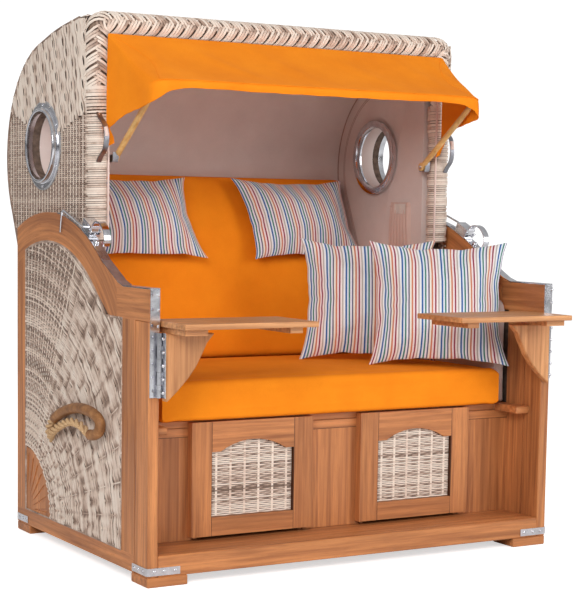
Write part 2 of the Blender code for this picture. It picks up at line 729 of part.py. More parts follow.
def footrest(side, name):
    """Pull-out footrest: a framed front with an arched wicker window, and a box behind it."""
    body = "footrest_" + name
    middle = side * FOOTREST_CENTRE
    face_low = BOX_FRONT - GAP - FOOTREST_FACE_THICK
    face_high = BOX_FRONT - GAP
    frame = box((middle - FOOTREST_WIDE / 2, middle + FOOTREST_WIDE / 2), (face_low, face_high),
                (FOOTREST_BOTTOM, FOOTREST_TOP))

    def window(inset):
        wide = WINDOW_WIDE / 2 - inset
        shoulder = WINDOW_WIDE / 2 - WINDOW_SHOULDER_WIDE
        rise = WINDOW_CROWN - WINDOW_SHOULDER
        radius = (shoulder**2 + rise**2) / (2 * rise)
        half_turn = math.degrees(math.asin(shoulder / radius))
        centre = (middle, WINDOW_CROWN - radius)
        crown = arc(centre, radius - inset, 90.0 - half_turn, 90.0 + half_turn, 10)
        return [(middle - wide, WINDOW_BOTTOM + inset), (middle + wide, WINDOW_BOTTOM + inset),
                (middle + wide, WINDOW_SHOULDER - inset), *crown, (middle - wide, WINDOW_SHOULDER - inset)]

    frame = cut(frame, prism(window(0.0), face_low - OVERRUN, face_high + OVERRUN, "y"))
    place("footrest_face_" + name, frame, "teak", body)
    insert_low = face_high - WINDOW_INSERT_THICK - SINK
    insert = prism(window(GAP), insert_low, insert_low + WINDOW_INSERT_THICK, "y")
    place("footrest_wicker_" + name, insert, "wicker", body)
    half = FOOTREST_BOX_WIDE / 2
    rear = BOX_FRONT + FOOTREST_BOX_DEEP
    low = SILL_TOP + GAP
    shell = box((middle - half, middle + half), (BOX_FRONT, rear), (low, FOOTREST_BOX_TOP))
    inside = box((middle - half + FOOTREST_BOARD, middle + half - FOOTREST_BOARD),
                 (BOX_FRONT - OVERRUN, rear - FOOTREST_BOARD),
                 (low - OVERRUN, FOOTREST_BOX_TOP - FOOTREST_BOARD))
    place("footrest_box_" + name, cut(shell, inside), "teak", body)


def side_pad(side, name):
    """Upholstered pad on the inner face of the side."""
    low = SEAT_BOARD_TOP + GAP
    corner = (PAD_FRONT + PAD_CORNER, PAD_TOP - PAD_CORNER)
    line = [(PAD_FRONT, low), (PAD_REAR_FOOT, low), (PAD_REAR_TOP, PAD_TOP),
            *arc(corner, PAD_CORNER, 90.0, 180.0, 5)]
    pad = prism(line, side * (BETWEEN - PAD_THICK), side * BETWEEN, "x")
    place("side_pad_" + name, pad, "lining_cloth", bevel=EASE)


def seat_cushion():
    """The long seat cushion."""
    low = SEAT_BOARD_TOP + GAP
    cushion = box_cushion(SEAT_WIDE / 2, SEAT_FRONT, SEAT_REAR, low, SEAT_THICK, SEAT_CROWN, 20, 12)
    place("seat_cushion", cushion, "orange_cloth", smooth_deg=60.0)


def seat_height(x, y):
    """The height of the seat cushion's crown at a place."""
    u = x / (SEAT_WIDE / 2)
    v = (2 * y - SEAT_FRONT - SEAT_REAR) / (SEAT_REAR - SEAT_FRONT)
    return SEAT_BOARD_TOP + GAP + SEAT_THICK + SEAT_CROWN * (1 - u * u) * (1 - v * v)


def throw_pillows():
    """Two loose square pillows that stand on the seat, turned and leaning back."""
    for name, foot in (("right", PILLOW_NEAR), ("left", PILLOW_FAR)):
        pillow = knife_pillow(PILLOW_WIDE, PILLOW_HIGH, PILLOW_THICK)
        lean = Matrix.Rotation(math.radians(90.0 - PILLOW_LEAN_DEG), 4, "X")
        turn = Matrix.Rotation(math.radians(PILLOW_TURN_DEG), 4, "Z")
        up = turn @ lean @ Vector((0.0, PILLOW_HIGH / 2, 0.0))
        corner = turn @ Vector((PILLOW_WIDE / 2, 0.0, 0.0))
        seat = GAP + max(seat_height(foot[0] + way * corner.x, foot[1] + way * corner.y)
                         for way in (-1, 1))
        stand = Matrix.Translation(Vector((*foot, seat)) + up)
        bmesh.ops.transform(pillow, matrix=stand @ turn @ lean, verts=pillow.verts)
        place("throw_pillow_" + name, pillow, "striped_cloth", smooth_deg=60.0)


def rope_handle(side, name):
    """Rope loop that stands out from the wicker, both ends held in it."""
    skin = HALF - WICKER_INSET + GAP
    far = skin + ROPE_REACH
    rise = (ROPE_CROWN[1] - ROPE_REAR[1]) / 3
    root = skin + ROPE_RADIUS
    route = [(root, *ROPE_FRONT), (far, ROPE_FRONT[0] + 2 * ROPE_REACH, ROPE_CROWN[1]),
             (far, *ROPE_CROWN), (far, ROPE_REAR[0] - 2 * ROPE_REACH, ROPE_REAR[1] + rise),
             (root, *ROPE_REAR)]
    route = [(skin, *ROPE_FRONT), *smooth_path(route, 6), (skin, *ROPE_REAR)]
    points = [(side * x, y, z) for x, y, z in route]
    place("rope_handle_" + name, tube(points, ROPE_RADIUS, 8), "rope", smooth_deg=60.0)


def side_table(side, name):
    """Table on a shaped bracket that swings on the post's hinge."""
    body = "table_" + name
    under = TABLE_TOP - TABLE_THICK
    span = (side * TABLE_INNER, side * TABLE_OUTER)[::side]
    top = box(span, (-TABLE_FRONT, TABLE_REAR), (under, TABLE_TOP))
    spans = ((TABLE_OUTER - CLEAT_OUTER_WIDE, TABLE_OUTER - CLEAT_MARGIN / 2),
             (CLEAT_INNER_X, CLEAT_INNER_X + CLEAT_INNER_WIDE))
    for low, high in spans:
        cleat = box((side * low, side * high)[::side],
                    (CLEAT_MARGIN - TABLE_FRONT, TABLE_REAR - CLEAT_MARGIN),
                    (under - CLEAT_HIGH, under + SINK))
        top = join(top, cleat)
    place("table_top_" + name, top, "teak", body)
    head = under - CLEAT_HIGH - GAP
    outer = HINGE_X - KNUCKLE_RADIUS - GAP - LEAF_THICK - GAP
    inner = outer - BRACKET_LONG
    curve_shares = ((1.0, 1.0), (0.84, 0.86), (0.74, 0.70), (0.62, 0.52), (0.45, 0.34), (0.22, 0.15),
                    (0.0, 0.0))
    edge = [(outer - s * BRACKET_LONG, head - (1 - t) * BRACKET_HIGH) for s, t in curve_shares]
    line = [(outer, head), *edge]
    bracket = prism([(side * x, z) for x, z in line], -BRACKET_FRONT, -BRACKET_FRONT + BRACKET_THICK, "y")
    place("table_bracket_" + name, bracket, "teak", body, bevel=EASE)
    leaf_x = HINGE_X - KNUCKLE_RADIUS - GAP
    leaf = box((side * (leaf_x - LEAF_THICK), side * leaf_x)[::side],
               (-BRACKET_FRONT + SINK, -HINGE_OUT + SINK), (HINGE_LOW, HINGE_HIGH))
    for low, high in knuckle_spans(False):
        web = box((side * (leaf_x - LEAF_THICK / 2), side * HINGE_X)[::side],
                  (-HINGE_OUT - KNUCKLE_RADIUS / 2, -HINGE_OUT + KNUCKLE_RADIUS / 2), (low, high))
        leaf = join(leaf, web)
        leaf = join(leaf, rod("z", (side * HINGE_X, -HINGE_OUT), KNUCKLE_RADIUS, low, high, 12))
    bore = rod("z", (side * HINGE_X, -HINGE_OUT), HINGE_PIN + GAP, HINGE_LOW - OVERRUN,
               HINGE_HIGH + OVERRUN, 10)
    place("table_leaf_" + name, cut(leaf, bore), "steel", body)


def hood_line():
    """The hood's outer outline at the back: skirt, back, round and roof, from the floor end up."""
    skirt = arc(PIVOT, HOOD_SKIRT_RADIUS, HOOD_SKIRT_END_DEG, HOOD_SKIRT_START_DEG, 8)
    round_back = arc(HOOD_REAR_CENTRE, HOOD_REAR_RADIUS, HOOD_REAR_START_DEG, 0.0, 4)
    round_top = arc(HOOD_REAR_CENTRE, HOOD_REAR_RADIUS, 0.0, HOOD_REAR_END_DEG, 10)
    back = smooth_path([skirt[-1], HOOD_BACK_LOW, HOOD_BACK_HIGH, round_back[0]], 3)
    roof = smooth_path([round_top[-1], ROOF_MIDDLE, (WALL_FRONT, ROOF_FRONT_Z)], 3)
    line = [*skirt, *back[1:-1], *round_back, *round_top[1:], *roof[1:]]
    return [tuple(p) for p in line]


def inner_line(depth, low_z=None):
    """The same outline moved in by a wall, from a height upwards if one is given."""
    line = offset(hood_line(), depth)
    line[-1] = (WALL_FRONT, line[-1][1])
    if low_z is None:
        return line
    above = [p for p in line if p[1] > low_z]
    first = line[len(line) - len(above) - 1]
    share = (low_z - first[1]) / (above[0][1] - first[1])
    return [(first[0] + share * (above[0][0] - first[0]), low_z), *above]


def hood_wicker():
    """Woven outer shell: two side walls that reach down to the axles, a back and a roof."""
    front_low = (PIVOT_Y - HOOD_DISC, PIVOT_Z)
    disc = arc(PIVOT, HOOD_DISC, 180.0, 270.0, 6)
    line = [*hood_line(), (WALL_FRONT, RIM_BOTTOM), front_low, *disc[1:]]
    shell = prism(line, -HOOD_HALF, HOOD_HALF, "x")
    inside = inner_line(HOOD_WALL)
    floor = inside[0][1] - HOOD_WALL
    far_front = WALL_FRONT - 2 * OVERRUN
    end = (inside[-1][0] - 2 * OVERRUN, inside[-1][1])
    hollow = [*inside, end, (far_front - HOOD_DISC, PIVOT_Z - HOOD_SKIRT_RADIUS),
              (inside[0][0], PIVOT_Z - HOOD_SKIRT_RADIUS), (inside[0][0], floor)]
    shell = cut(shell, prism(hollow, HOOD_WALL - HOOD_HALF, HOOD_HALF - HOOD_WALL, "x"))
    reach = HOOD_HALF - 2 * HOOD_WALL
    for side in (-1, 1):
        hole = rod("x", (PORTHOLE_Y, PORTHOLE_Z), PORTHOLE_TUBE + GAP, side * reach,
                   side * (HOOD_HALF + OVERRUN), 36)
        shell = cut(shell, hole)
        axle = rod("x", PIVOT, AXLE_RADIUS - GAP, side * (HOOD_HALF - HOOD_WALL / 2),
                   side * (FRAME_INNER + PIVOT_RAIL_THICK), 16)
        shell = join(shell, axle)
    place("hood_wicker", shell, "wicker", "hood")


def hood_lining():
    """Upholstered inner shell, a wall's thickness inside the wicker."""
    outer = inner_line(HOOD_WALL + GAP, LINING_BOTTOM)
    front = WALL_FRONT
    slant_y = PIVOT_Y - HOOD_DISC + SINK
    line = [*outer, (front, RIM_BOTTOM), (slant_y, LINING_BOTTOM)]
    half = HOOD_HALF - HOOD_WALL - GAP
    shell = prism(line, -half, half, "x")
    inside = inner_line(HOOD_WALL + GAP + LINING_WALL, LINING_BOTTOM)
    start = (inside[0][0] - SINK, LINING_BOTTOM - OVERRUN)
    hollow = [start, *inside, (front - OVERRUN, inside[-1][1]), (front - OVERRUN, LINING_BOTTOM - OVERRUN)]
    shell = cut(shell, prism(hollow, LINING_SIDE - half, half - LINING_SIDE, "x"))
    for side in (-1, 1):
        hole = rod("x", (PORTHOLE_Y, PORTHOLE_Z), PORTHOLE_TUBE + GAP, side * (half - 2 * LINING_SIDE),
                   side * (half + OVERRUN), 36)
        shell = cut(shell, hole)
    place("hood_lining", shell, "lining_cloth", "hood")


def hood_rim():
    """Front rim: a round padded rail up one side, across the top and down the other."""
    corner = []
    for i in range(7):
        y, z = polar((RIM_HALF - RIM_CORNER, RIM_TOP - RIM_CORNER), RIM_CORNER, 15.0 * i)
        corner.append((y, RIM_Y, z))
    right = [(RIM_HALF, RIM_Y, RIM_BOTTOM), *corner]
    path = [*[(-x, y, z) for x, y, z in right], *reversed(right)]
    rim = tube(path, RIM_RADIUS, 14)
    for side in (-1, 1):
        pin = rod("x", (RIM_Y, BOW_PIVOT_Z), BOW_PIN, side * (BOW_HALF - BOW_EYE_THICK), side * RIM_HALF, 10)
        rim = join(rim, pin)
        lug = rod("x", (RIM_Y, BOW_PIVOT_Z), BOW_EYE, side * (BOW_HALF + BOW_EYE_THICK / 2 + GAP),
                  side * RIM_HALF, 12)
        rim = join(rim, lug)
    place("hood_rim", rim, "wicker", "hood", smooth_deg=50.0)


def porthole(side, name):
    """Round steel window frame through the side wall, with a flange and a collar on both faces."""
    outer = HOOD_HALF + GAP
    inner = HOOD_HALF - HOOD_WALL - LINING_SIDE - 2 * GAP
    bore, wall = PORTHOLE_BORE, PORTHOLE_TUBE
    profile = [(bore, inner - PORTHOLE_PROUD), (PORTHOLE_COLLAR - SINK, inner - PORTHOLE_PROUD),
               (PORTHOLE_COLLAR, inner - PORTHOLE_PLATE), (PORTHOLE_FLANGE - SINK, inner - PORTHOLE_PLATE),
               (PORTHOLE_FLANGE - SINK, inner), (wall, inner), (wall, outer), (PORTHOLE_FLANGE, outer),
               (PORTHOLE_FLANGE, outer + PORTHOLE_PLATE), (PORTHOLE_COLLAR, outer + PORTHOLE_PLATE),
               (PORTHOLE_COLLAR - SINK, outer + PORTHOLE_PROUD), (bore, outer + PORTHOLE_PROUD)]
    place("porthole_" + name, ring_solid(profile, (PORTHOLE_Y, PORTHOLE_Z), 36, side), "steel", "hood")


def grab_handle(side, name):
    """Bow handle on the front of the rim's upright."""
    low, high = GRIP_Z - GRIP_HIGH / 2, GRIP_Z + GRIP_HIGH / 2
    seat = RIM_FRONT - GAP
    bend = GRIP_REACH / 3
    route = [(seat, low), (seat - GRIP_REACH + bend, low), (seat - GRIP_REACH, low + bend),
             (seat - GRIP_REACH, high - bend), (seat - GRIP_REACH + bend, high), (seat, high)]
    points = [(side * RIM_HALF, y, z) for y, z in route]
    place("grab_handle_" + name, tube(points, GRIP_RADIUS, 10), "steel", "hood", smooth_deg=60.0)


def pocket():
    """Small cloth pocket on the inside of the right wall, open at the top."""
    wall_x = HOOD_HALF - HOOD_WALL - LINING_SIDE - 2 * GAP
    bag = box((wall_x - POCKET_THICK, wall_x), (POCKET_FRONT, POCKET_REAR), (POCKET_BOTTOM, POCKET_TOP))
    inside = box((wall_x - POCKET_THICK + POCKET_WALL, wall_x - POCKET_WALL),
                 (POCKET_FRONT + POCKET_WALL, POCKET_REAR - POCKET_WALL),
                 (POCKET_BOTTOM + POCKET_WALL, POCKET_TOP + OVERRUN))
    place("pocket", cut(bag, inside), "pocket_cloth", "hood")


def back_point(depth, share):
    """A point and the outward normal on the back, by depth behind the outline and share of its height."""
    line = inner_line(depth, BACK_CUSHION_LOW)
    z = BACK_CUSHION_LOW + share * (BACK_CUSHION_HIGH - BACK_CUSHION_LOW)
    for (y0, z0), (y1, z1) in zip(line, line[1:]):
        if z0 <= z <= z1:
            t = (z - z0) / (z1 - z0)
            way = Vector((y1 - y0, z1 - z0)).normalized()
            return Vector((y0 + t * (y1 - y0), z)), Vector((-way.y, way.x))
    return Vector(line[0]), Vector((-1.0, 0.0))


def back_cushion():
    """Back cushion that follows the curve of the lining, crowned in front."""
    edge_share = 0.16
    edge_power = 12
    depth = HOOD_WALL + LINING_WALL + GAP + BACK_CUSHION_REST

    def fall(u, v):
        return (max(1 - u**edge_power, 0.0) * max(1 - v**edge_power, 0.0)) ** edge_share

    def sheet(u, v, share):
        at, way = back_point(depth, (v + 1) / 2)
        at = at + way * BACK_CUSHION_THICK * share
        return (u * BACK_CUSHION_HALF, at.x, at.y)

    cushion = two_sheets(spread(18, 2.2), spread(12, 2.0), lambda u, v: sheet(u, v, 0.5 + fall(u, v) / 2),
                         lambda u, v: sheet(u, v, 0.5 - fall(u, v) / 2))
    place("back_cushion", cushion, "orange_cloth", "hood", smooth_deg=60.0)


def head_pillow(side, name):
    """Oblong pillow held against the back cushion."""
    depth = HOOD_WALL + LINING_WALL + GAP + BACK_CUSHION_REST
    share = (HEAD_PILLOW_Z - BACK_CUSHION_LOW) / (BACK_CUSHION_HIGH - BACK_CUSHION_LOW)
    at, way = back_point(depth, share)
    at = at + way * (BACK_CUSHION_THICK + HEAD_PILLOW_THICK / 2 + 2 * GAP)
    pillow = knife_pillow(HEAD_PILLOW_WIDE, HEAD_PILLOW_HIGH, HEAD_PILLOW_THICK)
    lean = Matrix.Rotation(math.atan2(-way.x, way.y), 4, "X")
    spot = Matrix.Translation(Vector((side * HEAD_PILLOW_X, at.x, at.y)))
    bmesh.ops.transform(pillow, matrix=spot @ lean, verts=pillow.verts)
    place("head_pillow_" + name, pillow, "striped_cloth", "hood", smooth_deg=60.0)


def blind_bow():
    """Bent wooden bow with an eye at each end for its pin."""
    reach = Vector((BOW_FRONT_Y - RIM_Y, BOW_FRONT_Z - BOW_PIVOT_Z))
    way = reach.normalized()
    corner = []
    for i in range(6):
        turn = math.radians(18.0 * i)
        x = BOW_HALF - BOW_CORNER * (1 - math.cos(turn))
        along = reach - way * BOW_CORNER * (1 - math.sin(turn))
        corner.append((x, RIM_Y + along.x, BOW_PIVOT_Z + along.y))
    near = way * BOW_EYE * BOW_ROOT_SHARE
    right = [(BOW_HALF, RIM_Y + near.x, BOW_PIVOT_Z + near.y), *corner]
    path = [*[(-x, y, z) for x, y, z in right], *reversed(right)]
    bow = tube(path, BOW_RADIUS, 10)
    for side in (-1, 1):
        span = (side * (BOW_HALF - BOW_EYE_THICK / 2), side * (BOW_HALF + BOW_EYE_THICK / 2))
        bow = join(bow, rod("x", (RIM_Y, BOW_PIVOT_Z), BOW_EYE, *span, 12))
        bow = cut(bow, rod("x", (RIM_Y, BOW_PIVOT_Z), BOW_PIN + GAP, side * (BOW_HALF - 2 * BOW_EYE_THICK),
                           side * (BOW_HALF + 2 * BOW_EYE_THICK), 10))
    place("blind_bow", bow, "bow_wood", "bow", smooth_deg=60.0)


def blind_cloth():
    """Sun blind: one sheet from the rim to the bow, with a wing at each side."""
    top_y = RIM_FRONT - BLIND_CLEAR
    top_z = RIM_TOP - RIM_RADIUS / 2
    wing_x = RIM_HALF - RIM_RADIUS
    lead = BOW_RADIUS + BLIND_CLEAR
    bow_y, bow_z = BOW_FRONT_Y - lead, BOW_FRONT_Z + lead
    bow_x = BOW_HALF + lead
    heights = [BLIND_POST_LOW + (top_z - BLIND_POST_LOW) * i / 3 for i in range(4)]
    rim_half = [*[(-wing_x, top_y, z) for z in heights], (-wing_x / 2, top_y, top_z)]
    hem_half = [(-wing_x, top_y - BLIND_CLEAR, BLIND_POST_LOW), (-bow_x, *BLIND_FLAP_MIDDLE),
                (-bow_x, *BLIND_FLAP_FRONT), (-bow_x, bow_y, bow_z), (-bow_x / 2, bow_y, bow_z)]
    mirrored = [[(-x, y, z) for x, y, z in reversed(half)] for half in (rim_half, hem_half)]
    rim_line = smooth_path([*rim_half, (0.0, top_y, top_z), *mirrored[0]], 3)
    hem_line = smooth_path([*hem_half, (0.0, bow_y, bow_z), *mirrored[1]], 3)
    shape = bmesh.new()
    rows = []
    steps = 6
    for j in range(steps + 1):
        share = j / steps
        sag = Vector((0.0, 0.0, -BLIND_SAG * 4 * share * (1 - share)))
        rows.append([shape.verts.new(a.lerp(b, share) + sag) for a, b in zip(rim_line, hem_line)])
    hem = []
    for at in hem_line:
        share = (top_y - at.y) / (top_y - bow_y)
        hem.append(shape.verts.new(at - share * Vector((0.0, BLIND_DROP_OUT, BLIND_DROP))))
    rows.append(hem)
    for first, second in zip(rows, rows[1:]):
        for i in range(len(first) - 1):
            shape.faces.new((first[i], first[i + 1], second[i + 1], second[i]))
    cloth = place("blind_cloth", shape, "orange_cloth", "hood", smooth_deg=60.0)
    thick = cloth.modifiers.new("thickness", "SOLIDIFY")
    thick.thickness = BLIND_THICK
    thick.offset = 0.0


def latch(side, name):
    """Recline latch on the hood: a block over the arch, a guide wire outside it, and a bow handle."""
    low_deg, high_deg = LATCH_DEG - LATCH_HALF_TURN, LATCH_DEG + LATCH_HALF_TURN
    line = [*arc(PIVOT, LATCH_RADIUS, low_deg, high_deg, 3),
            *reversed(arc(PIVOT, LATCH_RADIUS + LATCH_HIGH, low_deg, high_deg, 3))]
    block = prism(line, side * (HOOD_HALF + GAP), side * (HALF - SINK), "x")
    wire_radius = LATCH_RADIUS + LATCH_HIGH / 2
    wire_x = HALF + 2 * LATCH_WIRE
    start = polar(PIVOT, wire_radius, LATCH_DEG)
    turned = polar(PIVOT, wire_radius, LATCH_WIRE_BACK_DEG)
    low = polar(PIVOT, wire_radius - LATCH_WIRE_DROP, LATCH_WIRE_BACK_DEG)
    bend = polar(PIVOT, wire_radius, LATCH_WIRE_BACK_DEG + LATCH_TURN_DEG)
    drop = polar(PIVOT, wire_radius - 2 * LATCH_WIRE, LATCH_WIRE_BACK_DEG)
    route = [(side * (HALF - LATCH_ROOT), *start), (side * (wire_x - LATCH_WIRE), *start),
             (side * wire_x, *polar(PIVOT, wire_radius, LATCH_DEG - LATCH_TURN_DEG)), (side * wire_x, *bend),
             (side * wire_x, *drop), (side * wire_x, *low)]
    block = join(block, tube(route, LATCH_WIRE, 8))
    slot_middle = side * (HOOD_HALF + HALF) / 2
    ear = LATCH_BOW_WIDE / 2 + LATCH_BOW_RADIUS + GAP
    slot_line = [*arc(LATCH_PIN, LATCH_BOW_RADIUS * LATCH_SLOT_SHARE, 0.0, 330.0, 11)]
    block = cut(block, prism(slot_line, slot_middle - ear, slot_middle + ear, "x"))
    pin = rod("x", LATCH_PIN, LATCH_BOW_RADIUS / 2, slot_middle - ear - SINK, slot_middle + ear + SINK, 8)
    place("latch_block_" + name, join(block, pin), "steel", "hood")
    forward = Vector(polar((0.0, 0.0), 1.0, LATCH_DEG + LATCH_HALF_TURN + 90.0 - LATCH_RISE_DEG))
    pin_at = Vector(LATCH_PIN)
    eye = pin_at + forward * LATCH_BOW_RADIUS
    far = pin_at + forward * LATCH_BOW_LONG
    near_far = pin_at + forward * (LATCH_BOW_LONG - LATCH_BOW_RADIUS * 2)
    half = LATCH_BOW_WIDE / 2
    path = [(slot_middle - half, *eye), (slot_middle - half, *near_far),
            (slot_middle - half + LATCH_BOW_RADIUS * 2, *far),
            (slot_middle + half - LATCH_BOW_RADIUS * 2, *far),
            (slot_middle + half, *near_far), (slot_middle + half, *eye)]
    bow = tube(path, LATCH_BOW_RADIUS, 8)
    barrel = rod("x", LATCH_PIN, LATCH_BOW_RADIUS * LATCH_BARREL_SHARE,
                 slot_middle - half - LATCH_BOW_RADIUS, slot_middle + half + LATCH_BOW_RADIUS, 12)
    bow = join(bow, barrel)
    bore = rod("x", LATCH_PIN, LATCH_BOW_RADIUS / 2 + GAP, slot_middle - LATCH_BOW_WIDE,
               slot_middle + LATCH_BOW_WIDE, 8)
    place("latch_handle_" + name, cut(bow, bore), "steel", "latch_" + name, smooth_deg=60.0)


for builder in (side_frame, front_post, sunray_corner, side_wicker, feet_and_straps, arm_strap, side_pad,
                rope_handle, footrest, side_table, porthole, grab_handle, head_pillow, latch):
    mirrored_pairs(builder)
for builder in (base_boards, seat_cushion, throw_pillows, hood_wicker, hood_lining, hood_rim, pocket,
                back_cushion, blind_bow, blind_cloth):
    builder()
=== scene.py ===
# %% [markdown]
# A hooded beach chair for two
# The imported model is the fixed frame. Everything here is dressed on it: woven cane over the
# shells, cloth on the cushions, grain on the boards, and the small fittings that hold it together.

# %% Load the frame
import math

import bpy
import numpy as np
from mathutils import Matrix, Vector


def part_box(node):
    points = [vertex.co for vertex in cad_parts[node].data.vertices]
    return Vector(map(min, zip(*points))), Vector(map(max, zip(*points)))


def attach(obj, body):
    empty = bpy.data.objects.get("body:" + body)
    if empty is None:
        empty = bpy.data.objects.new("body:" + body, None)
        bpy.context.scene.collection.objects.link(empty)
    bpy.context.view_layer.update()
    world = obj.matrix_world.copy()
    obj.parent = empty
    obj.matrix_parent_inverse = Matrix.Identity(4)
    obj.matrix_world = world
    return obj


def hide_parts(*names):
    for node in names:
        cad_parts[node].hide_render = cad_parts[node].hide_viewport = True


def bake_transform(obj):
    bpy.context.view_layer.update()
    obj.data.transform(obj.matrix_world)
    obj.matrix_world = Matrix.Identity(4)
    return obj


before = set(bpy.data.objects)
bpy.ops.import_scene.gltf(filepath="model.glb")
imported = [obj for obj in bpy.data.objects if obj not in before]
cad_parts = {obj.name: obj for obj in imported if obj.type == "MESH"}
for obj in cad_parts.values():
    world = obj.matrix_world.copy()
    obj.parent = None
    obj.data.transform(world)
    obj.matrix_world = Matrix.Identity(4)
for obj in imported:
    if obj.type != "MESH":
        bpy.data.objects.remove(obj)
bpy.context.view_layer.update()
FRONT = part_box("front_sill")[0].y
SIDES = ((-1, "left"), (1, "right"))
print("frame:", len(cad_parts), "nodes; front face of the base at y =", round(FRONT, 4))

# %% [markdown]
# Small helpers come first. A new primitive starts selected all over, and the frame's own nodes are
# left selected by the import, so everything is deselected before anything is added.

# %% Helpers to start and finish a piece


def start(add, **how):
    """Adds one primitive with nothing else selected."""
    bpy.ops.object.select_all(action="DESELECT")
    add(**how)
    return bpy.context.object


def only(piece):
    """Makes this the one selected and active object."""
    bpy.ops.object.select_all(action="DESELECT")
    piece.select_set(True)
    bpy.context.view_layer.objects.active = piece


def finish_modifiers(piece):
    """Applies every modifier, in order."""
    only(piece)
    for modifier in list(piece.modifiers):
        bpy.ops.object.modifier_apply(modifier=modifier.name)


def keep(piece, name, body, material, smooth_deg=None):
    """The last step of a piece: place into the mesh, name, finish and body (none where it blends)."""
    only(piece)
    bpy.ops.object.transform_apply(location=True, rotation=True, scale=True)
    if smooth_deg is not None:
        bpy.ops.object.shade_smooth_by_angle(angle=math.radians(smooth_deg))
    piece.name = name
    piece.data.name = name
    if material is not None:
        piece.data.materials.clear()
        piece.data.materials.append(material)
    if body is not None:
        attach(piece, body)
    print("made", name, len(piece.data.polygons), "faces")
    return piece


# %% [markdown]
# Materials are node trees. One helper adds a node and wires or sets its inputs, another makes a
# group with named sockets. Each shared effect (grain, weave, cane) is one group.

# %% Helpers for node trees


def put(tree, kind, inputs=None, **settings):
    """Adds a node: settings are its properties, and inputs are wired or set by name or number."""
    made = tree.nodes.new("ShaderNode" + kind)
    for key, value in settings.items():
        setattr(made, key, value)
    for key, value in (inputs or {}).items():
        socket = made.inputs[key]
        if isinstance(value, bpy.types.NodeSocket):
            tree.links.new(value, socket)
        else:
            socket.default_value = value
    return made


def ramp(tree, value, stops, mode="LINEAR"):
    """A colour ramp over (position, colour) stops."""
    made = put(tree, "ValToRGB", {0: value})
    made.color_ramp.interpolation = mode
    elements = made.color_ramp.elements
    while len(elements) < len(stops):
        elements.new(0.5)
    for element, (place, colour) in zip(elements, stops):
        element.position = place
        element.color = (*colour, 1) if len(colour) == 3 else colour
    return made.outputs["Color"]


def math_of(tree, operation, first, second=None, third=None):
    """One Math node's result."""
    made = put(tree, "Math", {0: first}, operation=operation)
    if second is not None:
        put_into(tree, made.inputs[1], second)
    if third is not None:
        put_into(tree, made.inputs[2], third)
    return made.outputs[0]


def put_into(tree, socket, value):
    """Wires or sets one socket."""
    if isinstance(value, bpy.types.NodeSocket):
        tree.links.new(value, socket)
    else:
        socket.default_value = value


def blend_of(tree, share, first, second, mode="MIX"):
    """A colour mix of two colours."""
    made = put(tree, "Mix", {0: share}, data_type="RGBA", blend_type=mode)
    put_into(tree, made.inputs[6], first)
    put_into(tree, made.inputs[7], second)
    return made.outputs[2]


def new_group(name, inputs, outputs):
    """A shader group with its sockets; returns the group and its inner end nodes."""
    group = bpy.data.node_groups.new(name, "ShaderNodeTree")
    for label, kind, value in inputs:
        socket = group.interface.new_socket(name=label, in_out="INPUT", socket_type="NodeSocket" + kind)
        if value is not None:
            socket.default_value = value
    for label, kind in outputs:
        group.interface.new_socket(name=label, in_out="OUTPUT", socket_type="NodeSocket" + kind)
    return group, group.nodes.new("NodeGroupInput").outputs, group.nodes.new("NodeGroupOutput").inputs


def new_material(name, **shader_values):
    """A material with constants set on its shader; returns it, its tree and its shader."""
    made = bpy.data.materials.new(name)
    made.use_nodes = True
    shader = made.node_tree.nodes["Principled BSDF"]
    for key, value in shader_values.items():
        shader.inputs[key.replace("_", " ")].default_value = value
    return made, made.node_tree, shader


def use_group(tree, group, inputs):
    """Places a group in a material."""
    made = tree.nodes.new("ShaderNodeGroup")
    made.node_tree = group
    for key, value in inputs.items():
        put_into(tree, made.inputs[key], value)
    return made.outputs


def bump(tree, shader, height, distance, strength=1.0):
    """A Bump node from a height to the shader's normal."""
    made = put(tree, "Bump", {"Height": height, "Distance": distance, "Strength": strength})
    tree.links.new(made.outputs[0], shader.inputs["Normal"])


def place_of(tree):
    """The row frame's own coordinates."""
    return tree.nodes.new("ShaderNodeTexCoord").outputs["Object"]


# %% [markdown]
# The camera stands where the photograph was taken: in front and to the left, a little above the
# seat. It has a long lens and a small vertical shift, so the chair's uprights stay nearly upright.

# %% Camera
CAMERA_AT = Vector((-2.3860, -4.11035, 0.9384))
CAMERA_YAW = math.radians(30.904)
CAMERA_PITCH = math.radians(5.581)
CAMERA_ROLL = 0.0160
ahead = Vector((math.sin(CAMERA_YAW) * math.cos(CAMERA_PITCH), math.cos(CAMERA_YAW) * math.cos(CAMERA_PITCH),
                -math.sin(CAMERA_PITCH)))
level = Vector((math.cos(CAMERA_YAW), -math.sin(CAMERA_YAW), 0.0))
above = level.cross(ahead)
right = math.cos(CAMERA_ROLL) * level + math.sin(CAMERA_ROLL) * above
upward = -math.sin(CAMERA_ROLL) * level + math.cos(CAMERA_ROLL) * above
bpy.ops.object.camera_add()
camera = bpy.context.object
camera.name = "camera"
camera.matrix_world = Matrix((right, upward, -ahead)).transposed().to_4x4()
camera.location = CAMERA_AT
camera.data.lens = 100.1
camera.data.sensor_width = 36.0
camera.data.shift_x = -0.0117
camera.data.shift_y = 0.1207
camera.data.dof.use_dof = False
bpy.context.scene.camera = camera
print("camera at", tuple(round(v, 3) for v in camera.location))

# %% [markdown]
# A pale floor and a pale backdrop, with broad soft lights: a large one on the left front, a weaker
# and lower one on the right that reaches in under the hood, and one behind. The world is dark near
# the horizon and light above, which gives the polished steel something to mirror. To the camera
# alone the world is white, and the floor a little brighter, so the backdrop is nearly white without
# washing out the chair. Colours are shown as they are, with no film curve.

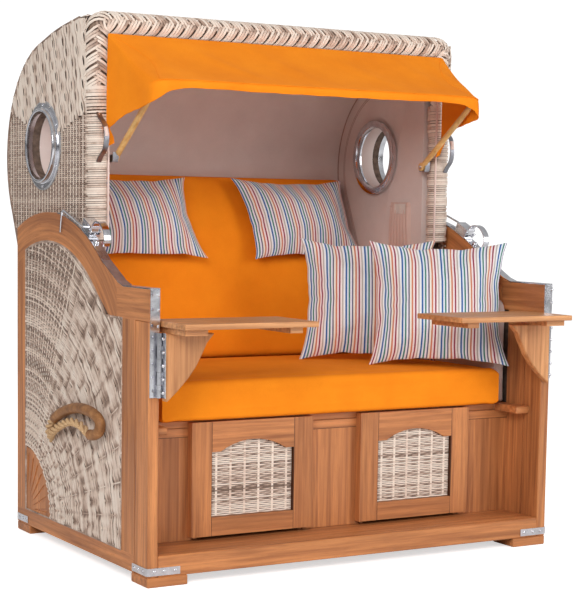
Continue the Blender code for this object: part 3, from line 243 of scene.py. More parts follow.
# %% Floor, backdrop and lights
FLOOR_HALF = 9.0
floor = start(bpy.ops.mesh.primitive_plane_add, size=2 * FLOOR_HALF, location=(0, 0, 0))
floor.name = "floor"
pale, tree, shader = new_material("pale floor", Base_Color=(0.93, 0.93, 0.93, 1), Roughness=0.9,
                                  Emission_Color=(1, 1, 1, 1))
to_camera = put(tree, "LightPath").outputs["Is Camera Ray"]
tree.links.new(math_of(tree, "MULTIPLY", to_camera, 0.60), shader.inputs["Emission Strength"])
floor.data.materials.append(pale)


def soft_light(name, at, aim, size, power, colour=(1, 1, 1)):
    """A square area light that looks at a point."""
    bpy.ops.object.light_add(type="AREA", location=at)
    light = bpy.context.object
    light.name = name
    light.rotation_euler = (Vector(aim) - Vector(at)).to_track_quat("-Z", "Y").to_euler()
    light.data.size = size
    light.data.energy = power
    light.data.color = colour


soft_light("key", (-3.0, -3.5, 2.6), (0, 0, 0.7), 1.8, 108)
soft_light("fill", (2.5, -4.2, 1.9), (0, 0, 0.7), 2.4, 78)
soft_light("back", (0.5, 3.6, 3.2), (0, 0, 0.8), 2.4, 34)

world = bpy.data.worlds.new("studio")
bpy.context.scene.world = world
world.use_nodes = True
sky = world.node_tree
height = put(sky, "SeparateXYZ", {0: put(sky, "TexCoord").outputs["Generated"]}).outputs["Z"]
sky_colour = ramp(sky, math_of(sky, "MULTIPLY_ADD", height, 0.5, 0.5),
                  [(0.44, (0.16, 0.15, 0.15)), (0.62, (1, 1, 1))])
to_camera = put(sky, "LightPath").outputs["Is Camera Ray"]
background = sky.nodes["Background"].inputs
sky.links.new(blend_of(sky, to_camera, sky_colour, (1, 1, 1, 1)), background["Color"])
sky.links.new(math_of(sky, "MULTIPLY_ADD", to_camera, 0.6, 0.50), background["Strength"])
bpy.context.scene.view_settings.view_transform = "Standard"

# %% [markdown]
# Teak is red-brown with darker growth lines and short open pores, all drawn out along the board.
# The grain group takes a place whose Z runs along the board: each material turns its boards' place
# to suit. Noise stretched along Z gives the lines, a finer one the pores, a broad one the tone.

# %% Wood grain group
grain_group, g_in, g_out = new_group(
    "wood_grain", [("Place", "Vector", None), ("Dark", "Color", (0.2, 0.08, 0.03, 1)),
                   ("Light", "Color", (0.5, 0.25, 0.1, 1))],
    [("Color", "Color"), ("Roughness", "Float"), ("Height", "Float")])
tree = grain_group
broad = put(tree, "Mapping", {0: g_in["Place"], "Scale": (14, 14, 1.6)})
warp = put(tree, "TexNoise", {"Vector": broad.outputs[0], "Scale": 1.0, "Detail": 3.0})
lines = put(tree, "Mapping", {0: g_in["Place"], "Scale": (1, 1, 0.035)})
bent = put(tree, "VectorMath", {0: lines.outputs[0]}, operation="ADD")
push = put(tree, "VectorMath", {0: warp.outputs["Color"], "Scale": 0.02}, operation="SCALE")
tree.links.new(push.outputs[0], bent.inputs[1])
figure = put(tree, "TexNoise", {"Vector": bent.outputs[0], "Scale": 95.0, "Detail": 5.0, "Roughness": 0.56})
pores = put(tree, "TexNoise", {"Vector": lines.outputs[0], "Scale": 900.0, "Detail": 2.0})
pore_mask = ramp(tree, pores.outputs[0], [(0.58, (0, 0, 0)), (0.70, (1, 1, 1))])
tone = ramp(tree, figure.outputs[0], [(0.30, (0, 0, 0)), (0.68, (1, 1, 1))])
board_tone = blend_of(tree, tone, g_in["Dark"], g_in["Light"])
patches = ramp(tree, warp.outputs[0], [(0.32, (0.74, 0.70, 0.68)), (0.66, (1.12, 1.10, 1.08))])
board_tone = blend_of(tree, 1.0, board_tone, patches, "MULTIPLY")
pored = blend_of(tree, math_of(tree, "MULTIPLY", pore_mask, 0.45), board_tone, g_in["Dark"])
tree.links.new(pored, g_out["Color"])
tree.links.new(math_of(tree, "MULTIPLY_ADD", pore_mask, 0.22, 0.42), g_out["Roughness"])
tree.links.new(math_of(tree, "SUBTRACT", figure.outputs[0], math_of(tree, "MULTIPLY", pore_mask, 0.5)),
               g_out["Height"])

# %% Teak materials, one for each way a board can run
TEAK_DARK = (0.345, 0.121, 0.042, 1)
TEAK_LIGHT = (0.650, 0.266, 0.092, 1)
JOINT_DARK = (0.085, 0.026, 0.009, 1)
GRAIN_DEPTH = 0.0006
RUN = {"x": (0, math.radians(-90), 0), "y": (math.radians(90), 0, 0), "z": (0, 0, 0)}


def grained(tree, shader, place, dark=TEAK_DARK, light=TEAK_LIGHT, gap=None):
    """Wires the grain at a place to the shader, darker and lower where the gap mask is 1."""
    out = use_group(tree, grain_group, {"Place": place, "Dark": dark, "Light": light})
    colour, level = out["Color"], out["Height"]
    if gap is not None:
        colour = blend_of(tree, gap, colour, JOINT_DARK)
        level = math_of(tree, "SUBTRACT", level, gap)
    tree.links.new(colour, shader.inputs["Base Color"])
    tree.links.new(out["Roughness"], shader.inputs["Roughness"])
    bump(tree, shader, level, GRAIN_DEPTH, 0.5)


def wood(name, run, dark, light):
    """A wood whose grain runs along one axis of the row frame."""
    made, tree, shader = new_material(name, Specular_IOR_Level=0.4)
    turned = put(tree, "Mapping", {0: place_of(tree), "Rotation": RUN[run]})
    grained(tree, shader, turned.outputs[0], dark, light)
    return made


TEAK = {run: wood("teak along " + run, run, TEAK_DARK, TEAK_LIGHT) for run in "xyz"}
PALE_DARK = (0.42, 0.170, 0.062, 1)
PALE_LIGHT = (0.78, 0.390, 0.165, 1)
PALE_TEAK = {run: wood("pale teak along " + run, run, PALE_DARK, PALE_LIGHT) for run in "xz"}
BOW_WOOD = wood("bow wood", "y", (0.66, 0.36, 0.115, 1), (0.90, 0.60, 0.25, 1))

# %% [markdown]
# The side frame is one jointed piece: stiles upright, rails and arm along the chair, and an arch
# that is sawn from curved boards. Its grain therefore follows three coordinate sets, chosen by
# place: for the arch the angle round the hood's axle stands in for the length of the board.

# %% Teak of the side frames
PIVOT_Y = FRONT + 0.642
PIVOT_Z = 0.345
ARCH_IN = 0.495


def side_frame_wood():
    """Grain along Z in the stiles, Y in the rails and arm, and round the axle in the arch."""
    made, tree, shader = new_material("teak of the side frame", Specular_IOR_Level=0.4)
    split = put(tree, "SeparateXYZ", {0: place_of(tree)}).outputs
    y = math_of(tree, "SUBTRACT", split["Y"], PIVOT_Y)
    z = math_of(tree, "SUBTRACT", split["Z"], PIVOT_Z)
    radius = math_of(tree, "SQRT", math_of(tree, "ADD", math_of(tree, "MULTIPLY", y, y),
                                           math_of(tree, "MULTIPLY", z, z)))
    turn = math_of(tree, "MULTIPLY", math_of(tree, "ARCTAN2", z, y), 0.535)
    round_place = put(tree, "CombineXYZ", {0: split["X"], 1: radius, 2: turn}).outputs[0]
    along = put(tree, "CombineXYZ", {0: split["X"], 1: split["Z"], 2: split["Y"]}).outputs[0]
    in_arch = math_of(tree, "MULTIPLY", math_of(tree, "GREATER_THAN", radius, ARCH_IN - 0.012),
                      math_of(tree, "GREATER_THAN", split["Y"], FRONT + 0.190))
    in_arch = math_of(tree, "MULTIPLY", in_arch, math_of(tree, "GREATER_THAN", split["Z"], 0.62))
    in_arm = math_of(tree, "MULTIPLY", math_of(tree, "GREATER_THAN", split["Z"], 0.66),
                     math_of(tree, "LESS_THAN", split["Y"], FRONT + 0.190))
    in_rail = math_of(tree, "MAXIMUM", math_of(tree, "LESS_THAN", split["Z"], 0.070), in_arm)
    low = put(tree, "Mix", {0: in_rail, 4: place_of(tree), 5: along}, data_type="VECTOR").outputs[1]
    final = put(tree, "Mix", {0: in_arch, 4: low, 5: round_place}, data_type="VECTOR").outputs[1]
    grained(tree, shader, final)
    return made


FRAME_TEAK = side_frame_wood()
FACE_JOINT = 0.1236
BOX_RAIL_LOW = 0.349


def joined_wood(name, joint):
    """Boards along X and Z met at butt joints: joint gives a mask for Z boards and one for the joints."""
    made, tree, shader = new_material(name, Specular_IOR_Level=0.4)
    split = put(tree, "SeparateXYZ", {0: place_of(tree)}).outputs
    upright, gap = joint(tree, math_of(tree, "ABSOLUTE", split["X"]), split["Z"])
    flat = put(tree, "CombineXYZ", {0: split["Z"], 1: split["Y"], 2: split["X"]}).outputs[0]
    place = put(tree, "Mix", {0: upright, 4: flat, 5: place_of(tree)}, data_type="VECTOR").outputs[1]
    grained(tree, shader, place, gap=gap)
    return made


def near(tree, value, at, width=0.0008):
    """1 within a width of a value."""
    return math_of(tree, "LESS_THAN", math_of(tree, "ABSOLUTE", math_of(tree, "SUBTRACT", value, at)), width)


def face_joint(tree, x, z):
    """Stiles of a footrest beyond the window's sides, rails between them."""
    off = math_of(tree, "ABSOLUTE", math_of(tree, "SUBTRACT", x, 0.258))
    return math_of(tree, "GREATER_THAN", off, FACE_JOINT), near(tree, off, FACE_JOINT)


def box_joint(tree, x, z):
    """A rail on top of upright boards."""
    return math_of(tree, "LESS_THAN", z, BOX_RAIL_LOW), near(tree, z, BOX_RAIL_LOW)


FACE_TEAK = joined_wood("teak of the footrest faces", face_joint)
BOX_TEAK = joined_wood("teak of the box front", box_joint)
print("teak:", len(TEAK) + len(PALE_TEAK) + 3, "materials")

# %% [markdown]
# Cloth is plain woven: crossing threads about a millimetre apart, with slubs and slight unevenness
# of the dye. The weave group gives the threads' height and a mottle; each cloth has its own colour.

# %% Cloth weave group
weave_group, w_in, w_out = new_group(
    "cloth_weave", [("Place", "Vector", None), ("Threads", "Float", 900.0)],
    [("Height", "Float"), ("Mottle", "Float")])
tree = weave_group
sides = [put(tree, "TexWave", {"Vector": w_in["Place"], "Scale": w_in["Threads"], "Distortion": 0.6, "Detail": 1.0,
                               "Detail Scale": 2.0}, wave_type="BANDS", bands_direction=way).outputs["Fac"]
         for way in ("X", "Y", "Z")]
threads = math_of(tree, "ADD", math_of(tree, "ADD", sides[0], sides[1]), sides[2])
slubs = put(tree, "TexNoise", {"Vector": w_in["Place"], "Scale": 420.0, "Detail": 2.0}).outputs[0]
cloud = put(tree, "TexNoise", {"Vector": w_in["Place"], "Scale": 9.0, "Detail": 4.0, "Roughness": 0.6}).outputs[0]
tree.links.new(math_of(tree, "MULTIPLY_ADD", slubs, 1.2, threads), w_out["Height"])
tree.links.new(math_of(tree, "ADD", math_of(tree, "MULTIPLY", cloud, 0.7), math_of(tree, "MULTIPLY", slubs, 0.3)),
               w_out["Mottle"])


def cloth(name, dark, light, sheen=0.15, threads=160.0):
    """A plain cloth between two close shades of one colour."""
    made, tree, shader = new_material(name, Roughness=0.88, Sheen_Weight=sheen, Specular_IOR_Level=0.2)
    out = use_group(tree, weave_group, {"Place": place_of(tree), "Threads": threads})
    tree.links.new(ramp(tree, out["Mottle"], [(0.32, dark), (0.68, light)]), shader.inputs["Base Color"])
    bump(tree, shader, out["Height"], 0.00025, 0.35)
    return made


ORANGE = cloth("orange cloth", (0.88, 0.235, 0.006), (0.98, 0.290, 0.009), 0.0)
TAUPE = cloth("taupe cloth", (0.66, 0.545, 0.505), (0.74, 0.620, 0.575))
POCKET_CLOTH = cloth("pocket cloth", (0.60, 0.42, 0.36), (0.68, 0.49, 0.42))
PIPING = cloth("taupe piping", (0.40, 0.25, 0.21), (0.48, 0.31, 0.26))
PALE_PIPING = cloth("pale piping", (0.74, 0.56, 0.50), (0.84, 0.68, 0.62))

# %% [markdown]
# The pillows are white with narrow upright stripes in six colours. Each pillow stores how far each
# point lies across its width, in metres, in an attribute named across, so the stripes follow the cloth.

# %% Striped cloth
STRIPE_PERIOD = 0.063
STRIPES = [(0.000, (0.035, 0.120, 0.360)), (0.085, (0.74, 0.81, 0.88)), (0.167, (0.060, 0.215, 0.165)),
           (0.245, (0.82, 0.80, 0.88)), (0.333, (0.140, 0.125, 0.210)), (0.405, (0.87, 0.81, 0.70)),
           (0.500, (0.600, 0.215, 0.120)), (0.580, (0.88, 0.76, 0.77)), (0.667, (0.300, 0.045, 0.085)),
           (0.745, (0.88, 0.79, 0.77)), (0.833, (0.480, 0.420, 0.380)), (0.900, (0.85, 0.86, 0.87))]
STRIPED, tree, shader = new_material("striped cloth", Roughness=0.85, Sheen_Weight=0.12, Specular_IOR_Level=0.2)
across = put(tree, "Attribute", attribute_name="across").outputs["Fac"]
share = math_of(tree, "FRACT", math_of(tree, "DIVIDE", across, STRIPE_PERIOD))
out = use_group(tree, weave_group, {"Place": place_of(tree), "Threads": 170.0})
shade = ramp(tree, out["Mottle"], [(0.3, (0.92, 0.92, 0.92)), (0.7, (1, 1, 1))])
tree.links.new(blend_of(tree, 1.0, ramp(tree, share, STRIPES, "CONSTANT"), shade, "MULTIPLY"),
               shader.inputs["Base Color"])
bump(tree, shader, out["Height"], 0.0002, 0.3)

# %% [markdown]
# Woven cane: flat plastic strands, cream with long brown-grey streaks. Every strand has its own
# tone, kept as an attribute named strand, and fine grooves run along it. A second attribute, shade,
# makes a strand browner where it dips under another: painted shade. It also carries some real tone,
# such as paler stakes and browner bands. What shows through the weave is a plain mottled brown.

# %% Cane group and materials
cane_group, c_in, c_out = new_group(
    "cane_streaks", [("Place", "Vector", None), ("Strand", "Float", 0.5), ("Shade", "Float", 0.0),
                     ("Brown", "Float", 0.5)],
    [("Color", "Color"), ("Height", "Float"), ("Roughness", "Float")])
tree = cane_group
offset = put(tree, "CombineXYZ", {0: math_of(tree, "MULTIPLY", c_in["Strand"], 37.0),
                                  1: math_of(tree, "MULTIPLY", c_in["Strand"], 91.0), 2: 0.0}).outputs[0]
moved = put(tree, "VectorMath", {0: c_in["Place"], 1: offset}, operation="ADD").outputs[0]
streak = put(tree, "TexNoise", {"Vector": moved, "Scale": 22.0, "Detail": 4.0, "Roughness": 0.7}).outputs[0]
fine = put(tree, "TexNoise", {"Vector": moved, "Scale": 260.0, "Detail": 3.0}).outputs[0]
mixed = math_of(tree, "ADD", math_of(tree, "MULTIPLY", streak, 0.55), math_of(tree, "MULTIPLY", c_in["Strand"], 0.45))
mixed = math_of(tree, "ADD", mixed, math_of(tree, "MULTIPLY_ADD", c_in["Brown"], -0.3, 0.15))
# The Shade input browns a strand where it dips (painted shade) and adds the real tone some weaves give it.
mixed = math_of(tree, "ADD", mixed, math_of(tree, "MULTIPLY", c_in["Shade"], 0.20))
cane_colour = ramp(tree, mixed, [(0.28, (0.180, 0.110, 0.078)), (0.41, (0.44, 0.305, 0.235)),
                                 (0.52, (0.73, 0.575, 0.475)), (0.70, (0.88, 0.760, 0.655))])
cane_colour = blend_of(tree, math_of(tree, "MULTIPLY", fine, 0.22), cane_colour, (0.60, 0.47, 0.385, 1))
tree.links.new(cane_colour, c_out["Color"])
tree.links.new(fine, c_out["Height"])
tree.links.new(math_of(tree, "MULTIPLY_ADD", fine, 0.25, 0.45), c_out["Roughness"])


def cane(name, brown):
    """Cane strands, with more or fewer of them brown."""
    made, tree, shader = new_material(name, Specular_IOR_Level=0.35)
    strand = put(tree, "Attribute", attribute_name="strand").outputs["Fac"]
    shade = put(tree, "Attribute", attribute_name="shade").outputs["Fac"]
    out = use_group(tree, cane_group, {"Place": place_of(tree), "Strand": strand, "Shade": shade, "Brown": brown})
    tree.links.new(out["Color"], shader.inputs["Base Color"])
    tree.links.new(out["Roughness"], shader.inputs["Roughness"])
    bump(tree, shader, out["Height"], 0.0004, 0.6)
    return made


CANE = cane("cane", 0.45)
PALE_CANE = cane("pale cane", 0.12)


def mottled(name, scale, dark, light, rough=0.0, smooth=0.0, detail=2.0, **shader_values):
    """A material mottled between two colours; where rough is given, the roughness follows the mottle."""
    made, tree, shader = new_material(name, **shader_values)
    cloud = put(tree, "TexNoise", {"Vector": place_of(tree), "Scale": scale, "Detail": detail}).outputs[0]
    tree.links.new(ramp(tree, cloud, [(0.3, dark), (0.7, light)]), shader.inputs["Base Color"])
    if rough:
        tree.links.new(math_of(tree, "MULTIPLY_ADD", cloud, rough, smooth), shader.inputs["Roughness"])
    return made, tree, shader


# Painted shade: the rim's core is coloured as the dark gaps between the canes of the braid.
CORE = mottled("rim core in painted shade", 45.0, (0.15, 0.095, 0.065), (0.30, 0.205, 0.150), Roughness=0.8)[0]
# Painted shade: a dark mottled sheet that stands for the shadow seen through the gaps of the weave.
SHADE_BEHIND_WEAVE = mottled("shade behind the weave", 60.0, (0.075, 0.047, 0.034), (0.165, 0.110, 0.082), Roughness=0.9)[0]

# %% [markdown]
# Fittings are polished stainless steel, with faint brushing and a few duller smears. The straps and
# brackets at the rim are a duller steel. The rope is a hairy natural fibre.

# %% Steel and rope
STEEL, tree, shader = mottled("polished steel", 35.0, (0.56, 0.56, 0.59), (0.78, 0.78, 0.82), 0.16, 0.08, 4.0,
                              Metallic=1.0)
bump(tree, shader, put(tree, "TexNoise", {"Vector": place_of(tree), "Scale": 500.0}).outputs[0], 0.0001, 0.12)
DULL_STEEL = mottled("dull steel", 30.0, (0.20, 0.20, 0.22), (0.38, 0.38, 0.41), 0.2, 0.28, 4.0, Metallic=1.0)[0]

ROPE, tree, shader = new_material("natural rope", Roughness=0.92, Specular_IOR_Level=0.15)
fibre = put(tree, "TexNoise", {"Vector": place_of(tree), "Scale": 420.0, "Detail": 4.0, "Roughness": 0.7}).outputs[0]
tree.links.new(ramp(tree, fibre, [(0.28, (0.36, 0.20, 0.090)), (0.50, (0.64, 0.41, 0.22)),
                                  (0.72, (0.82, 0.60, 0.37))]), shader.inputs["Base Color"])
bump(tree, shader, fibre, 0.0008, 0.6)
print("materials:", len(bpy.data.materials))

# %% [markdown]
# Boards and fittings of the frame already have the right shape. They get a finish, and the boards
# get eased edges: the nodes are loose triangles, so a Weld comes before the Bevel.

# %% Finish the frame's own nodes


def dress(node, material, ease=0.0):
    """A finish for one node, with its edges eased if it is a board."""
    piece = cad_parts[node]
    piece.data.materials.clear()
    piece.data.materials.append(material)
    if ease:
        weld = piece.modifiers.new("weld", "WELD")
        weld.merge_threshold = 0.00002
        eased = piece.modifiers.new("eased edges", "BEVEL")
        eased.width = ease
        eased.segments = 2
        eased.limit_method = "ANGLE"
        eased.angle_limit = math.radians(50)


for side in ("left", "right"):
    dress("side_frame_" + side, FRAME_TEAK, 0.002)
    for node, run in (("front_post_", "z"), ("sunray_corner_", "z"), ("foot_front_", "x"), ("foot_rear_", "x"),
                      ("footrest_box_", "y")):
        dress(node + side, TEAK[run], 0.001)
    dress("footrest_face_" + side, FACE_TEAK, 0.002)
    dress("table_top_" + side, PALE_TEAK["x"], 0.0015)
    dress("table_bracket_" + side, PALE_TEAK["z"], 0.0015)
    for node in ("corner_strap_front_", "corner_strap_rear_", "arm_strap_", "table_leaf_", "porthole_",
                 "grab_handle_", "latch_block_", "latch_handle_"):
        dress(node + side, STEEL)
    dress("rope_handle_" + side, ROPE)
    dress("side_wicker_" + side, SHADE_BEHIND_WEAVE)
    dress("footrest_wicker_" + side, SHADE_BEHIND_WEAVE)
for node, run in (("front_sill", "x"), ("base_deck", "x"), ("seat_board", "x"), ("back_panel", "x")):
    dress(node, TEAK[run], 0.001)
dress("box_front", BOX_TEAK, 0.001)
dress("hood_wicker", SHADE_BEHIND_WEAVE)
dress("hood_rim", SHADE_BEHIND_WEAVE)
dress("blind_bow", BOW_WOOD)
for node in ("hood_lining", "side_pad_left", "side_pad_right"):
    dress(node, TAUPE)
dress("pocket", POCKET_CLOTH)
for node in ("seat_cushion", "back_cushion", "blind_cloth"):
    dress(node, ORANGE)
for node in ("throw_pillow_left", "throw_pillow_right", "head_pillow_left", "head_pillow_right"):
    dress(node, STRIPED)
print("dressed", len(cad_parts), "nodes")

# %% [markdown]
# All the cane is made of flat strands, and one helper lays them. A grid primitive has one row of
# faces for each strand and one for each gap. Its points are moved to where the strands run, the
# gap rows (and any strand outside the outline) are deleted, and Solidify gives the strand its body.
# This keeps each crossing to a few faces, so a whole wall can be truly woven.

# %% Helpers that lay flat strands


def in_edit(*steps):
    """Runs mesh operators, each (operator, its settings), on all of the active object in edit mode."""
    bpy.ops.object.mode_set(mode="EDIT")
    bpy.ops.mesh.select_all(action="SELECT")
    for step, settings in steps:
        step(**settings)
    bpy.ops.object.mode_set(mode="OBJECT")


def thicken(piece, thick, offset=0.0):
    """Gives a sheet its thickness, on both sides of it or, with offset -1, behind it."""
    wall = piece.modifiers.new("thickness", "SOLIDIFY")
    wall.thickness = thick
    wall.offset = offset


def middles(centre):
    """The points halfway along each strand's steps, as y and z."""
    middle = (centre[:, 1:] + centre[:, :-1]) / 2
    return middle[..., 1], middle[..., 2]


def wide_along(centre, axis, half_width):
    """Half-width vectors along one axis for every point."""
    half = np.zeros(centre.shape)
    half[..., axis] = half_width
    return half


def lay_strands(name, centre, half, thick, body, material, shown=None, seed=1, shade=None,
                spread=1.0):
    """Strands as (row, place, xyz) centre lines with half-width vectors; shown is (row, place - 1)."""
    rows, places = centre.shape[:2]
    piece = start(bpy.ops.mesh.primitive_grid_add, x_subdivisions=places - 1, y_subdivisions=2 * rows - 1)
    points = np.stack([centre - half, centre + half], axis=1).reshape(-1, 3)
    piece.data.vertices.foreach_set("co", points.astype(np.float32).ravel())
    tones = 0.5 + spread * (np.random.default_rng(seed).random(rows) - 0.5)
    tone = piece.data.attributes.new("strand", "FLOAT", "POINT")
    tone.data.foreach_set("value", np.repeat(tones, 2 * places).astype(np.float32))
    if shade is not None:
        dip = piece.data.attributes.new("shade", "FLOAT", "POINT")
        dip.data.foreach_set("value", np.repeat(shade, 2, axis=0).astype(np.float32).ravel())
    dropped = np.zeros((2 * rows - 1, places - 1), bool)
    dropped[1::2] = True
    if shown is not None:
        dropped[::2] |= ~shown
    bpy.context.scene.tool_settings.mesh_select_mode = (False, False, True)
    bpy.ops.object.mode_set(mode="EDIT")
    bpy.ops.mesh.select_all(action="DESELECT")
    bpy.ops.object.mode_set(mode="OBJECT")
    piece.data.polygons.foreach_set("select", dropped.ravel())
    bpy.ops.object.mode_set(mode="EDIT")
    bpy.ops.mesh.delete(type="FACE")
    bpy.ops.object.mode_set(mode="OBJECT")
    thicken(piece, thick)
    finish_modifiers(piece)
    return keep(piece, name, body, material, 50)


def inside(y, z, outline):
    """Which points lie inside a closed outline, by counting the edges above them."""
    y, z = np.asarray(y, float), np.asarray(z, float)
    found = np.zeros(np.broadcast(y, z).shape, bool)
    for (y0, z0), (y1, z1) in zip(outline, outline[1:] + outline[:1]):
        crosses = (y0 > y) != (y1 > y)
        height = z0 + (y - y0) / ((y1 - y0) or 1e-9) * (z1 - z0)
        found ^= crosses & (z < height)
    return found


def arc(centre, radius, start_deg, end_deg, steps):
    """Points (y, z) along an arc, both ends included."""
    turns = [math.radians(start_deg + (end_deg - start_deg) * i / steps) for i in range(steps + 1)]
    return [(centre[0] + radius * math.cos(t), centre[1] + radius * math.sin(t)) for t in turns]


def through(points, steps):
    """A smooth line through all of the points."""
    points = [Vector(p) for p in points]
    ends = [2 * points[0] - points[1], *points, 2 * points[-1] - points[-2]]
    line = []
    for a, b, c, d in zip(ends, ends[1:], ends[2:], ends[3:]):
        for i in range(steps):
            t = i / steps
            line.append((2 * b + (c - a) * t + (2 * a - 5 * b + 4 * c - d) * t**2
                         + (3 * b - a - 3 * c + d) * t**3) / 2)
    return [tuple(p) for p in line] + [tuple(points[-1])]


def bar(points, radius, closed=False, sides=2, caps=True):
    """A round bar along points: a path curve with a bevel, made a mesh."""
    bpy.ops.object.select_all(action="DESELECT")
    bpy.ops.curve.primitive_nurbs_path_add()
    piece = bpy.context.object
    line = piece.data
    line.splines.clear()
    spline = line.splines.new("POLY")
    spline.points.add(len(points) - 1)
    spline.points.foreach_set("co", [c for p in points for c in (*p, 1)])
    spline.use_cyclic_u = closed
    line.bevel_depth = radius
    line.bevel_resolution = sides
    line.use_fill_caps = caps and not closed
    bpy.ops.object.convert(target="MESH")
    return bpy.context.object


def as_one(pieces):
    """Joins pieces into the first."""
    bpy.ops.object.select_all(action="DESELECT")
    for piece in pieces:
        piece.select_set(True)
    bpy.context.view_layer.objects.active = pieces[0]
    bpy.ops.object.join()
    return pieces[0]


# %% [markdown]
# The side panels are woven in place. Stakes fan out from the carved corner block, and the weavers
# run round it in arcs: one at a time near the rear stile, and seven at a time over one stake and
# under the next in front of it, which makes the long patches. Everything is laid in polar
# coordinates round the corner. The broad stakes lie under the patches, and closer, finer ones
# stand in the plain weave near the stile.

# %% Woven side panels
CORNER = (FRONT + 0.806, 0.070)
PANEL_FACE = 0.622
FAN_STEP_DEG = 3.75
WEAVER_PITCH = 0.0068
WEAVERS_PER_PATCH = 7
PLAIN_STAKES = 7
STRAND_THICK = 0.0011
arch_inner = arc((PIVOT_Y, PIVOT_Z), 0.495, 70.7, 145.0, 16)
PANEL_LINE = [(FRONT + 0.156, 0.070), (FRONT + 0.806, 0.070),
              *[p for p in arch_inner if p[0] > FRONT + 0.245], (FRONT + 0.234, 0.660), (FRONT + 0.156, 0.660)]


def panel_weave(side, name):
    """Arced weavers of one side panel: single near the rear stile, then in sevens."""
    stakes = np.arange(90.0, 180.01, FAN_STEP_DEG)
    turns = np.radians(np.linspace(90.0, 180.0, 4 * (len(stakes) - 1) + 1))
    radii = np.arange(0.186, 0.93, WEAVER_PITCH)
    place, row = np.meshgrid(np.arange(len(turns)), np.arange(len(radii)))
    plain = place < 4 * PLAIN_STAKES - 6 * np.clip(0.75 - radii[row], 0, 1)
    group = np.where(plain, row, (row + 2 * ((place + 2) // 4)) // WEAVERS_PER_PATCH)
    phase = (np.where(plain, place / 2, place / 4) + group) * math.pi
    wave = np.where(plain, np.cos(phase), np.tanh(4 * (np.cos(phase) + 0.70)))
    crease = ~plain & (place % 8 == 0)
    lift = np.where(plain, 0.0014, 0.0019) * wave - 0.0007 * crease
    wander = np.where(plain, 0.0003, 0.0010) * np.sin(phase + 0.7) + 0.0003 * np.sin(row * 1.7 + place)
    turn, radius = turns[place], radii[row] + wander
    x = side * (PANEL_FACE + 0.0034 + lift)
    y = CORNER[0] + radius * np.cos(turn)
    z = CORNER[1] + radius * np.sin(turn)
    centre = np.stack([x, y, z], axis=-1)
    half = np.stack([0 * x, np.cos(turn), np.sin(turn)], axis=-1) * WEAVER_PITCH * 0.37
    bundle = np.sin(2.4 * group + 1.9 * ((place + 2) // 4))
    # Painted shade: weavers browner where they dip and along the creases at every second stake line. The bundle term
    # is tone that differs from bundle to bundle.
    shade = np.where(plain, 0.4 * wave - 0.55, 0.45 * wave - 0.20 + 0.30 * bundle) - 0.45 * crease
    lay_strands("side_weave_" + name, centre, half, STRAND_THICK, "base", CANE, inside(*middles(centre), PANEL_LINE),
                11 + side, shade, spread=0.8)
    fine_stakes = np.arange(90.0, 117.0, FAN_STEP_DEG / 2)
    # The broad stakes under the patches are browned as painted shade in the gaps; the fine stakes are paler cane.
    for label, angles, out, wide, tone in (("side_fan_", stakes[PLAIN_STAKES:], 0.0014, 0.0036, -0.55),
                                           ("side_stakes_", fine_stakes, 0.0034, 0.0018, 0.5)):
        lines = np.radians(angles)[:, None] + np.zeros(90)[None, :]
        reach = np.linspace(0.184, 0.92, 90)[None, :] + np.zeros(len(angles))[:, None]
        centre = np.stack([np.full(reach.shape, side * (PANEL_FACE + out)), CORNER[0] + reach * np.cos(lines),
                           CORNER[1] + reach * np.sin(lines)], axis=-1)
        half = np.stack([0 * lines, -np.sin(lines), np.cos(lines)], axis=-1) * wide
        lay_strands(label + name, centre, half, STRAND_THICK, "base", PALE_CANE,
                    inside(*middles(centre), PANEL_LINE), 5 + side, np.full(reach.shape, tone))
    edge = [(side * (PANEL_FACE + 0.0020), y, z) for y, z in PANEL_LINE]
    keep(bar(edge, 0.0034, closed=True), "side_edging_" + name, "base", PALE_CANE, 60)


for side, name in SIDES:
    panel_weave(side, name)

# %% [markdown]
# The hood's shell is one woven skin. Its outline at the back is the same line as the frame's: a
# skirt round the axle, the back, a large round and the roof. The side walls have upright stakes
# with single weavers low down, and in the upper part bold patches of six upright strands.

# %% Outline of the hood
ROUND = (FRONT + 0.7065, 1.0725)
skirt = arc((PIVOT_Y, PIVOT_Z), 0.212, -22.0, 29.3, 8)
back_round = arc(ROUND, 0.321, -30.0, 73.0, 16)
back_line = through([skirt[-1], (FRONT + 0.868, 0.600), (FRONT + 0.918, 0.760), back_round[0]], 4)
roof_line = through([back_round[-1], (FRONT + 0.658, 1.414), (FRONT + 0.5043, 1.436)], 4)
HOOD_LINE = [*skirt, *back_line[1:-1], *back_round, *roof_line[1:]]
WALL_LINE = [*HOOD_LINE, (FRONT + 0.466, 1.438), (FRONT + 0.466, 0.845), (FRONT + 0.585, 0.345)]
HOOD_FACE = 0.590
PORTHOLE = (FRONT + 0.752, 1.104)
print("hood outline:", len(HOOD_LINE), "points")

# %% Woven side walls of the hood
STAKE_PITCH = 0.020
PATCH_HIGH = 0.030


def wall_seen(y, z):
    """Inside the wall, clear of the porthole and of the arch of the side frame."""
    from_axle = np.hypot(y - PIVOT_Y, z - PIVOT_Z)
    from_port = np.hypot(y - PORTHOLE[0], z - PORTHOLE[1])
    return inside(y, z, WALL_LINE) & (from_port > 0.116) & ((from_axle > 0.50) | (y > FRONT + 0.80))


def in_patches(y, z):
    """Above the slanting line where the plain weave turns into patches."""
    return z > 1.175 - 0.28 * (y - FRONT - 0.500) + 0.62 * np.clip(y - FRONT - 0.72, 0, 1)


def wall_x(y, out):
    """How far out a strand lies: flat on the wall, easing in round the rim's post."""
    return HOOD_FACE + out - 0.005 * np.clip((FRONT + 0.504 - y) / 0.036, 0, 1) ** 2


